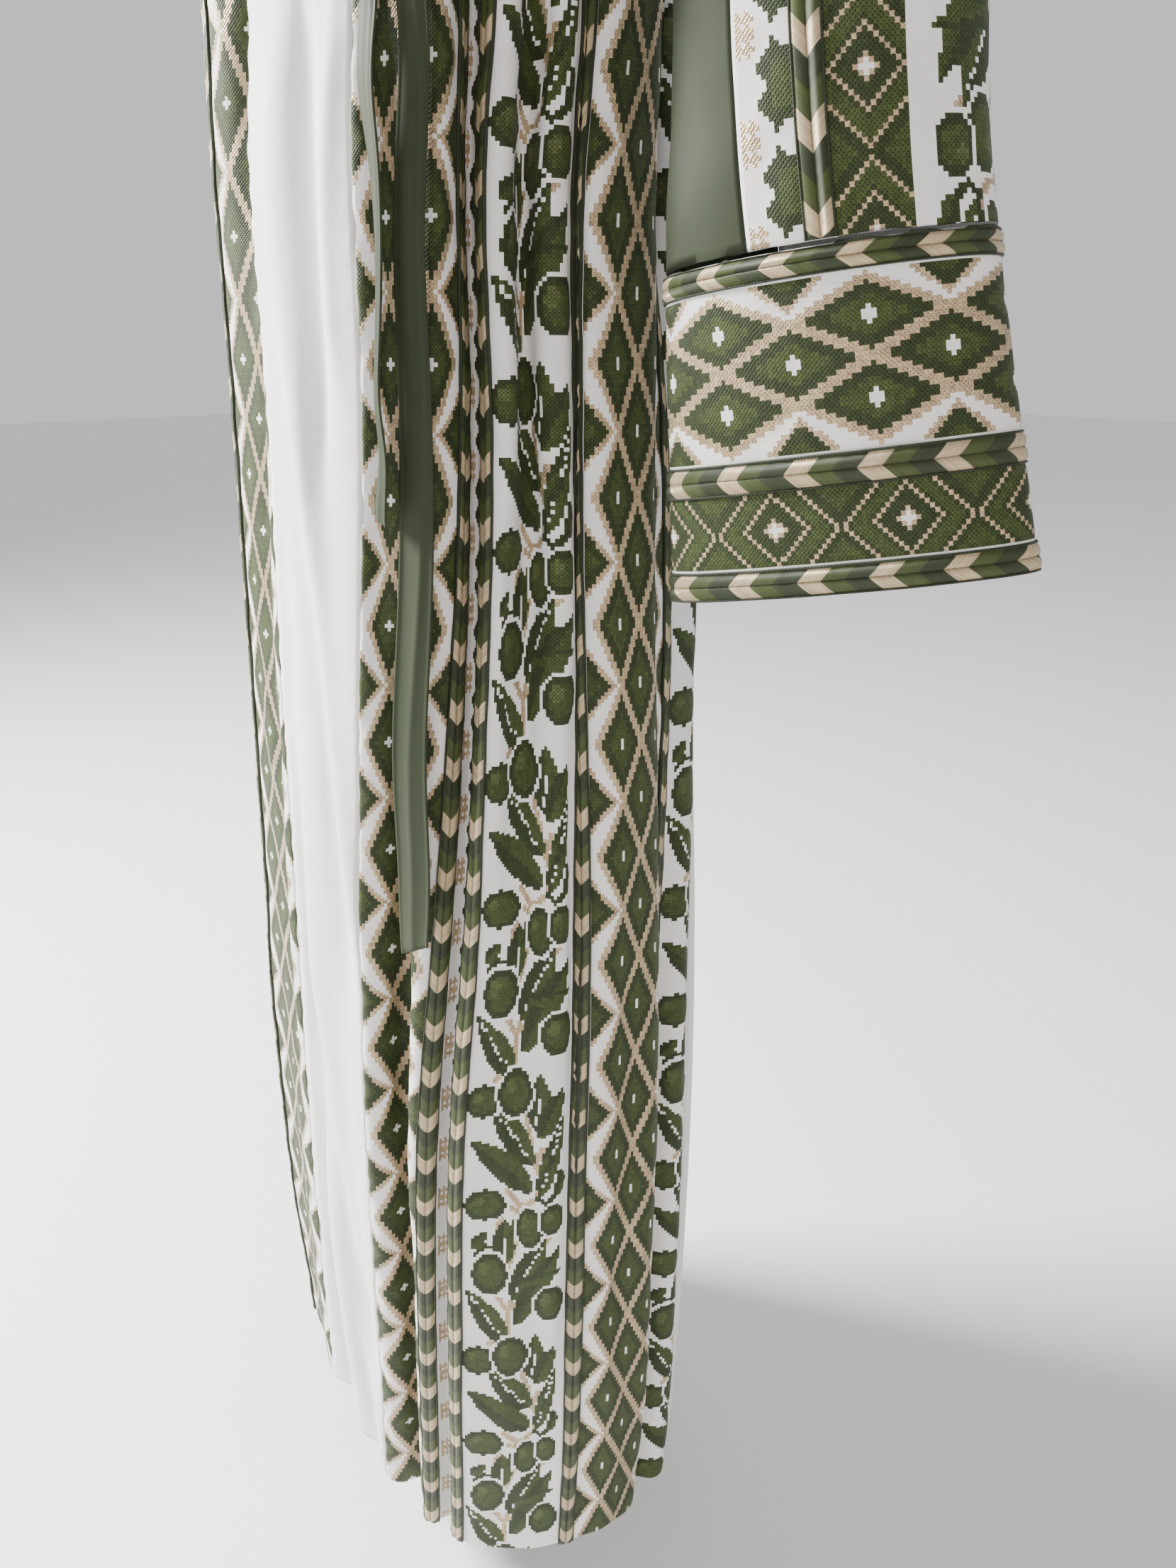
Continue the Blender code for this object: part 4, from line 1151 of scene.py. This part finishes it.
def sleeve_points(stitches, ts, loops):
    rings = np.array([on_ring(loop, stitches) for loop in loops])
    before = np.concatenate([[2 * rings[0] - rings[1]], rings])
    after = np.concatenate([rings, [2 * rings[-2] - rings[-3]]])
    points = []
    for t in ts:
        k = min(int(t), len(loops) - 2)
        s = t - k
        this, following = rings[k], rings[k + 1]
        first = before[k]
        last = after[k + 2] if k + 2 < len(loops) else 2 * following - this
        points.append(
            this
            + (following - first) * s / 2
            + (first - 2.5 * this + 2 * following - last / 2) * s * s
            + (1.5 * this - first / 2 - 1.5 * following + last / 2) * s**3
        )
    return np.array(points)


def sleeve_surface(us, ts, vs, loops, side, sign, closed=False):
    """(points, outward normals) of a sleeve, with its creases; vs are the rows' distances down the arm."""
    us = np.asarray(us, float)
    flat = sleeve_points(us, ts, loops)
    height = np.zeros(flat.shape[:2])
    u = us[None]
    v = np.asarray(vs, float)[:, None]
    for u_top, v_top, u_low, v_low, half_width, tall in SLEEVE_CREASES[side]:
        if abs(v_low - v_top) < abs(u_low - u_top):
            down = (u - u_top) / (u_low - u_top)
            off = v - v_top - (v_low - v_top) * down - 2.0 * np.sin(u * 0.2)
        else:
            down = (v - v_top) / (v_low - v_top)
            off = u - u_top - (u_low - u_top) * down - 1.6 * np.sin(down * 5 + u_top)
        fade = soft_step(down / 0.3 + 0.3) * soft_step((1 - down) / 0.3 + 0.3)
        height += tall * fade * np.exp(-((off / half_width) ** 2))
    ends = soft_step(v / 14)
    pucker = np.sin(v * 0.3 + 1.3 * np.sin(u * 0.2)) * np.sin(u * 0.25 + np.sin(v * 0.1))
    height = height * ends + 0.0003 * pucker * ends
    across = np.gradient(flat, axis=1)
    if closed:
        across[:, 0] = across[:, -1] = (flat[:, 1] - flat[:, -2]) / 2
    normals = sign * unit(np.cross(across, -np.gradient(flat, axis=0)))
    points = flat + normals * height[..., None]
    across = np.gradient(points, axis=1)
    if closed:
        across[:, 0] = across[:, -1] = (points[:, 1] - points[:, -2]) / 2
    return points, sign * unit(np.cross(across, -np.gradient(points, axis=0)))


def faced_out(sign, *grids):
    """The grids with their columns turned round on the wearer's left, so that their faces point outwards."""
    return tuple(grid[:, ::-1] if sign > 0 and grid is not None else grid for grid in grids)


def turned(edges):
    """The same columns mirrored and put in rising order."""
    return -edges[0][::-1], -edges[1][::-1]


half_sleeve = join_edges(
    (np.arange(0, 21.0), np.arange(0, 21.0)),
    lone_edge(22.0),
    (np.arange(23.0, 38.0), np.arange(23.0, 38.0)),
    lone_edge(SLEEVE_BRAID_END, 44.0),
    (SLEEVE_BRAID_END + np.arange(1, 12), 44.0 + np.arange(1, 12)),
    lone_edge(SATIN_START - SEAM, 56.0),
)
left_half = turned(half_sleeve)
sleeve_edges = join_edges((left_half[0][:-1], left_half[1][:-1]), half_sleeve)


def sleeve_chart(us, vs):
    threads = np.zeros((len(vs), len(us)), int)
    for start, end, draw in (
        (-20.0, 20.0, leaf_chart),
        (22.0, 37.0, dense_chart),
        (SLEEVE_BRAID_END, SATIN_START, lambda x, y: star_chart(12.0 - x, y)),
    ):
        inside = (us > start) & (us < end)
        threads[:, inside] = draw(us[inside] - start, vs)
        if start > 0:
            inside = (us < -start) & (us > -end)
            threads[:, inside] = draw(-us[inside] - start, vs)
    return threads


def cuff_chart(us, down):
    """The cuff's bands run round it: lattice, then the dense band, between the braids."""
    threads = np.zeros((len(down), len(us)), int)
    lattice = (down > BRAID) & (down < CUFF_LATTICE_END)
    threads[lattice] = lattice_chart(down[lattice] - BRAID + 1.0, us, width=37.0).T
    dense = (down > CUFF_LATTICE_END + BRAID) & (down < CUFF_STITCHES - BRAID)
    threads[dense] = dense_chart(down[dense] - CUFF_LATTICE_END - BRAID, us, width=15.5).T
    return threads


def sleeve_panel(name, nodes, edges, chart, ts, vs, loops, side, sign, material, ring=False):
    """A wall of a sleeve from rows of stitches; vs count down the arm, and the rows are turned to run up it."""
    us, numbers = edges
    order = slice(None, None, -1)
    ts, vs = ts[order], vs[order]
    points, normals = sleeve_surface(us, ts, vs, loops, side, sign, closed=ring)
    threads = chart(cell_middles(us), cell_middles(vs)) if chart else None
    uv = np.stack(np.meshgrid(numbers, vs), -1)
    points, normals, uv, threads = faced_out(sign, points, normals, uv, threads)
    mesh = shell_mesh(name, points + normals * CLOTH / 2, normals, uv, threads, ring=ring)
    piece = link(name, mesh, material, nodes)
    return piece


for side, sign, table in (("left", 1, LEFT_SLEEVE), ("right", -1, RIGHT_SLEEVE)):
    loops = sleeve_rings(table, sign)
    sample = np.linspace(0, CUFF_RING, 301)
    outside = sleeve_points(np.array([0.0, 0.1]), sample, loops)[:, 0]
    run = np.concatenate([[0], np.cumsum(np.linalg.norm(np.diff(outside, axis=0), axis=1))]) / STITCH
    length = round(run[-1])
    inside_line = sleeve_points(np.array([SATIN_START, SATIN_START + SATIN_WIDTH / 2]), sample, loops)[:, 1]
    vs = np.arange(length + 1.0)
    ts = np.interp(vs / length * run[-1], run, sample)
    ts[-1] -= 0.3 * SEAM
    sleeve_panel(
        f"sleeve_{side}_cloth",
        [f"sleeve_{side}"],
        sleeve_edges,
        sleeve_chart,
        ts,
        vs,
        loops,
        side,
        sign,
        crepe,
    )
    satin_us = np.linspace(SATIN_START + 0.15, SATIN_START + SATIN_WIDTH - 0.15, 45)
    sleeve_panel(
        f"sleeve_{side}_satin_gusset",
        [f"sleeve_satin_{side}"],
        (satin_us, satin_us),
        None,
        ts[::2] if length % 2 == 0 else np.append(ts[::2], ts[-1]),
        vs[::2] if length % 2 == 0 else np.append(vs[::2], vs[-1]),
        loops,
        side,
        sign,
        satin,
    )
    for place, way in (("front", 1), ("back", -1)):
        middle = way * (SLEEVE_BRAID_START + BRAID / 2)
        first = int(0.10 * length)
        along = slice(None, first, -2)
        points, normals = sleeve_surface(middle + BRAID_ACROSS, ts[along], vs[along], loops, side, sign)
        points, normals = faced_out(sign, points, normals)
        name = f"sleeve_braid_{place}_{side}"
        mesh = braid_mesh(name, points, normals, length - vs[along])
        piece = link(f"{name}_stitched", mesh, braid, [name])

    down = np.concatenate([np.arange(7.0), [BRAID + 0.5], np.arange(8.0, CUFF_STITCHES + 1)])
    down = np.unique(np.round(down, 2))
    down[0] = SEAM
    cuff_ts = CUFF_RING + down / CUFF_STITCHES
    inner_cells = round(SATIN_WIDTH)
    inner = SATIN_START + np.linspace(0, SATIN_WIDTH, inner_cells + 1)[1:-1]
    cuff_us = np.concatenate([np.arange(-55.0, 56.0), inner])
    cuff_us = np.append(cuff_us, cuff_us[0])
    cuff_numbers = np.arange(len(cuff_us)) - 55.0
    middles = cuff_numbers[:-1] + 0.5
    cuff_vs = length + down[::-1]
    points, normals = sleeve_surface(cuff_us, cuff_ts[::-1], cuff_vs, loops, side, sign, closed=True)
    threads = cuff_chart(middles, cell_middles(down[::-1]))
    uv = np.stack(np.meshgrid(cuff_numbers, down[::-1]), -1)
    points, normals, uv, threads = faced_out(sign, points, normals, uv, threads)
    mesh = shell_mesh(f"cuff_{side}_cloth", points + normals * CLOTH / 2, normals, uv, threads, ring=True)
    piece = link(f"cuff_{side}_cloth", mesh, crepe, [f"cuff_{side}"])
    for place, start in (("top", 0.0), ("middle", CUFF_LATTICE_END), ("edge", CUFF_STITCHES - BRAID)):
        rows = start + BRAID / 2 + BRAID_ACROSS
        rows = np.clip(rows, SEAM, CUFF_STITCHES)[::-1]
        round_us = cuff_us[:-1:2]
        round_us = np.append(round_us, round_us[0])
        row_ts = CUFF_RING + rows / CUFF_STITCHES
        points, normals = sleeve_surface(round_us, row_ts, length + rows, loops, side, sign, closed=True)
        points, normals = points[:, :-1].transpose(1, 0, 2), normals[:, :-1].transpose(1, 0, 2)
        if sign < 0:
            points, normals = points[::-1], normals[::-1]
        name = f"cuff_braid_{place}_{side}"
        mesh = braid_mesh(name, points, normals, -2.0 * sign * np.arange(len(points)), ring=True)
        piece = link(f"{name}_stitched", mesh, braid, [name])

# ----------------------------------------
# Neck band, belt, knot and the belt's ends
# ----------------------------------------

BELT_WIDTH = 0.044
BELT_WALL = 0.002
BELT_LIFT = 0.0055
KNOT_STITCH = 47.0
KNOT_SIZE = (0.046, 0.024, 0.050)
TAIL_WALL = 0.0013
TAIL_COLUMNS = ("height", "stitch", "lift", "half_width", "turn")
SHORT_TAIL = (
    (-0.414, 41.0, 0.0080, 0.008, 25.0),
    (-0.479, 40.0, 0.0075, 0.008, 30.0),
    (-0.545, 42.5, 0.0060, 0.009, 50.0),
    (-0.625, 43.0, 0.0060, 0.009, 55.0),
    (-0.685, 43.5, 0.0060, 0.009, 50.0),
    (-0.725, 45.0, 0.0060, 0.009, 40.0),
)
LONG_TAIL = (
    (-0.414, 53.5, 0.0080, 0.009, 14.0),
    (-0.479, 54.0, 0.0080, 0.009, 14.0),
    (-0.600, 53.0, 0.0060, 0.010, 16.0),
    (-0.760, 57.0, 0.0065, 0.012, 12.0),
    (-0.885, 60.5, 0.0065, 0.013, 10.0),
    (-0.965, 64.0, 0.0060, 0.013, 12.0),
    (-1.010, 67.0, 0.0060, 0.012, 14.0),
)


def satin_sheet(name, node, points, normals, thickness, lengths, flat, ring=False):
    """A satin strip from a grid with rows running up. lengths are (across, along) in stitches for the weave."""
    uv = np.stack(np.meshgrid(*lengths), -1)
    mesh = shell_mesh(name, points, normals, uv, None, thickness, ring=ring, back_step=(2, 2))
    piece = link(name, mesh, satin, [node])
    return piece


def neck_band():
    centre = np.linspace(-NECK_STITCHES, NECK_STITCHES, 49)
    nape = np.linspace(HALF_ROUND - NECK_STITCHES, HALF_ROUND + NECK_STITCHES, 49)
    columns = np.concatenate([centre, nape[1:-1], centre[:1]])
    edge, normals = [], []
    for group in (centre, nape):
        points, outward = body_surface(group, [SHOULDER_ROW - 1.0, SHOULDER_ROW])
        onward = unit(points[1] - points[0])
        part = slice(None) if group is centre else slice(1, -1)
        edge.append(np.stack([points[1], onward], 1)[part])
        normals.append(outward[1][part])
    edge, normals = np.vstack(edge), np.vstack(normals)
    edge, normals = np.vstack([edge, edge[:1]]), np.vstack([normals, normals[:1]])
    rows = []
    steps = np.linspace(0, 1, 9)
    for share in steps:
        swell = 0.0007 * math.sin(math.pi * share)
        place = edge[:, 0] + edge[:, 1] * (NECK_GAP + NECK_BAND * share)
        rows.append(place + normals * (CLOTH / 2 + swell))
    grid = np.array(rows)
    lengths = (np.arange(len(columns)) * 1.3, steps * NECK_BAND / STITCH)
    around = float(np.linalg.norm(np.diff(grid[4], axis=0), axis=1).sum())
    satin_sheet(
        "neck_band_satin",
        "neck_band",
        grid,
        np.repeat(normals[None], 9, axis=0),
        CLOTH,
        lengths,
        (around, 0.01),
        ring=True,
    )


def satin_belt():
    """The sash round the waist: soft pleats run along it and draw together at the knot."""
    columns = np.linspace(-HALF_ROUND, HALF_ROUND, 321)
    shares = np.linspace(-1, 1, 23)
    near_knot = np.exp(-(((columns - KNOT_STITCH) / 22) ** 2))
    rows = []
    for share in shares:
        sag = 0.0012 * np.sin(columns * 0.021 + 1.0)
        z = BELT_HEIGHT + BELT_WIDTH / 2 * share * (1 - 0.16 * near_knot)
        base = section(columns, BELT_HEIGHT + BELT_WIDTH / 2 * share, folded=False, lift=BELT_LIFT)
        above = section(columns, BELT_HEIGHT + BELT_WIDTH / 2 * share, folded=False, lift=BELT_LIFT + 0.001)
        out = unit(above - base)
        pleat = 0.0011 * np.sin(share * 8.5 + 1.5 * np.sin(columns * 0.032) + 0.5)
        pleat += 0.0008 * np.sin(share * 15 + 2.2 * np.sin(columns * 0.05 + 1.0) + columns * 0.01)
        pleat *= 1 + 0.5 * near_knot
        bulge = BELT_WALL + pleat * (1 - share**8) + 0.0008 * (1 - share**2)
        place = base + out * bulge[:, None]
        rows.append(np.column_stack([place, z + sag * (1 - abs(share)) * 0.5]))
    grid = np.array(rows)
    lengths = (columns, shares * BELT_WIDTH / 2 / STITCH)
    normals = grid_normals(grid)
    normals[:, 0] = normals[:, -1] = unit(normals[:, 0] + normals[:, -1])
    flat = (2 * HALF_ROUND * STITCH * 0.72, 0.060)
    satin_sheet("belt_satin", "belt", grid, normals, 0.0014, lengths, flat, ring=True)


def knot():
    """The tied knot: a wide wrap of pleated satin crossed by the loop that holds it."""
    columns = np.array([KNOT_STITCH, KNOT_STITCH + 1.0])
    inner = section(columns, BELT_HEIGHT, folded=False, lift=BELT_LIFT + BELT_WALL)
    across = unit(inner[1] - inner[0])
    out = np.array([across[1], -across[0]])
    width, depth, tall = KNOT_SIZE
    around = np.linspace(0, 2 * math.pi, 97)[:-1]
    rows = []
    for share in np.linspace(-0.985, 0.985, 61):
        swell = (1 - abs(share) ** 2.6) ** 0.42
        waist = 1 - 0.10 * math.exp(-((share / 0.22) ** 2))
        pleats = 0.0011 * np.sin(around * 7 + 2.0 * math.sin(share * 2.2) + share * 3)
        pleats += 0.0008 * np.sin(around * 12 - share * 6)
        wrap = 0.0022 * np.exp(-(((share + 0.35 * np.sin(around - 0.6)) / 0.30) ** 2))
        groove = -0.0018 * np.exp(-(((np.abs(share + 0.35 * np.sin(around - 0.6)) - 0.40) / 0.08) ** 2))
        radius = (pleats + wrap + groove) * min(1.0, (1 - abs(share)) * 6)
        sideways = (width / 2 * swell * waist - 0.002 + radius) * np.cos(around)
        ahead = depth / 2 + 0.0012 + (depth / 2 * swell - 0.0022 + radius) * np.sin(around)
        place = inner[0] + across * sideways[:, None] + out * ahead[:, None]
        rows.append(np.column_stack([place, np.full(len(around), BELT_HEIGHT + tall / 2 * share)]))
    grid = np.array(rows)
    count = len(around)
    index = np.arange(grid.shape[0] * count).reshape(grid.shape[0], count)
    index = np.hstack([index, index[:, :1]])
    faces = quads(index)[:, ::-1].tolist()
    faces.append(index[0, :-1].tolist())
    faces.append(index[-1, :-1][::-1].tolist())
    mesh = bpy.data.meshes.new("belt_knot_satin")
    mesh.from_pydata(grid.reshape(-1, 3).tolist(), [], faces)
    uv = np.stack(np.meshgrid(np.arange(count + 1) * 0.6, np.linspace(0, 20, 61)), -1)
    corners = np.stack([uv[:-1, :-1], uv[:-1, 1:], uv[1:, 1:], uv[1:, :-1]], 2)[:, :, ::-1].reshape(-1, 2)
    layer = mesh.uv_layers.new(name="Cloth")
    every_corner = np.zeros((len(mesh.loops), 2), np.float32)
    every_corner[: len(corners)] = corners
    layer.data.foreach_set("uv", every_corner.reshape(-1))
    mesh.update()
    if signed_volume(mesh) < 0:
        mesh.flip_normals()
    piece = link("belt_knot_satin", mesh, satin, ["belt_knot"])


def signed_volume(mesh):
    """Six times the volume inside a closed mesh, below zero when it is inside out."""
    total = 0.0
    for face in mesh.polygons:
        corners = [mesh.vertices[k].co for k in face.vertices]
        for second, third in zip(corners[1:], corners[2:], strict=False):
            total += corners[0].dot(second.cross(third))
    return total


def hanging_end(name, node, table, across_steps, slant):
    """An end of the belt: a strip with soft folds along it, hemmed edges and a cut end."""
    heights = column(table, TAIL_COLUMNS, "height")[::-1]
    levels = np.linspace(table[-1][0], table[0][0], 140)
    shares = np.linspace(-1, 1, across_steps)
    rows = []
    for z in levels:
        part = {
            key: float(smooth_between(z, heights, column(table, TAIL_COLUMNS, key)[::-1]))
            for key in TAIL_COLUMNS[1:]
        }
        middle, beside = section(
            np.array([part["stitch"], part["stitch"] + 1.0]), z, folded=False, lift=part["lift"]
        )
        across = unit(beside - middle)
        out = np.array([across[1], -across[0]])
        turn = math.radians(part["turn"])
        way = across * math.cos(turn) + out * math.sin(turn)
        face = out * math.cos(turn) - across * math.sin(turn)
        middle = middle + out * part["half_width"] * math.sin(turn)
        down = (table[0][0] - z) / (table[0][0] - table[-1][0])
        gather = 1 - 0.30 * math.exp(-down / 0.05)
        fold = 0.0008 * np.cos(shares * 3.4 + 0.8 * math.sin(down * 7)) * (1 - 0.35 * down)
        fold += 0.0009 * np.exp(-(((shares - 0.25 - 0.3 * math.sin(down * 5)) / 0.22) ** 2)) * (1 - down * 0.4)
        fold += 0.0014 * math.sin(down * 21 + 2 * math.sin(down * 6))
        hem = 0.0004 * (np.abs(shares) > 0.84)
        height = np.full(across_steps, z)
        if z < table[-1][0] + 0.03:
            reach = 1 - (z - table[-1][0]) / 0.03
            height += slant * (1 + shares) / 2 * reach
        place = middle + way * (part["half_width"] * shares * gather)[:, None] + face * (fold + hem)[:, None]
        rows.append(np.column_stack([place, height]))
    grid = np.array(rows)
    length = (table[0][0] - table[-1][0]) / STITCH
    lengths = (shares * 5, np.linspace(0, length, 140))
    width = 2.3 * max(column(table, TAIL_COLUMNS, "half_width"))
    satin_sheet(name, node, grid, grid_normals(grid), TAIL_WALL, lengths, (width, length * STITCH + 0.01))


neck_band()
satin_belt()
knot()
hanging_end("belt_end_long", "belt_tail_long", LONG_TAIL, 25, 0.012)
hanging_end("belt_end_short", "belt_tail_short", SHORT_TAIL, 21, -0.006)

# ----------------------------------------
# Floor, lights and camera
# ----------------------------------------

bpy.ops.mesh.primitive_plane_add(size=30, location=(0, 0, -1.66))
floor = bpy.context.object
floor.name = "studio_floor"
floor.data.materials.append(studio_floor())


def area_light(name, place, aim, size, power, colour):
    data = bpy.data.lights.new(name, "AREA")
    data.size = size
    data.energy = power
    data.color = colour
    lamp = bpy.data.objects.new(name, data)
    lamp.location = place
    lamp.rotation_euler = (Vector(aim) - Vector(place)).to_track_quat("-Z", "Y").to_euler()
    bpy.context.scene.collection.objects.link(lamp)


area_light("key", (-1.9, -1.5, 0.9), (0, 0, -0.9), 0.9, 480.0, (1.0, 0.985, 0.96))
area_light("fill", (2.6, -1.6, 0.3), (0, 0, -0.9), 2.2, 24.0, (1.0, 0.72, 0.54))

world = bpy.data.worlds.new("pale_studio")
world.use_nodes = True
world.node_tree.nodes["Background"].inputs["Color"].default_value = (0.98, 0.99, 1.0, 1)
world.node_tree.nodes["Background"].inputs["Strength"].default_value = 0.75
bpy.context.scene.world = world

camera_data = bpy.data.cameras.new("camera")
camera_data.lens = 27.0
camera_data.sensor_width = 36.0
camera = bpy.data.objects.new("camera", camera_data)
pitch = math.radians(21.0)
look = Vector((-0.743 * math.cos(pitch), 0.669 * math.cos(pitch), -math.sin(pitch)))
camera.location = (0.72, -0.53, -0.625)
camera.rotation_euler = look.to_track_quat("-Z", "Y").to_euler()
bpy.context.scene.collection.objects.link(camera)
bpy.context.scene.camera = camera
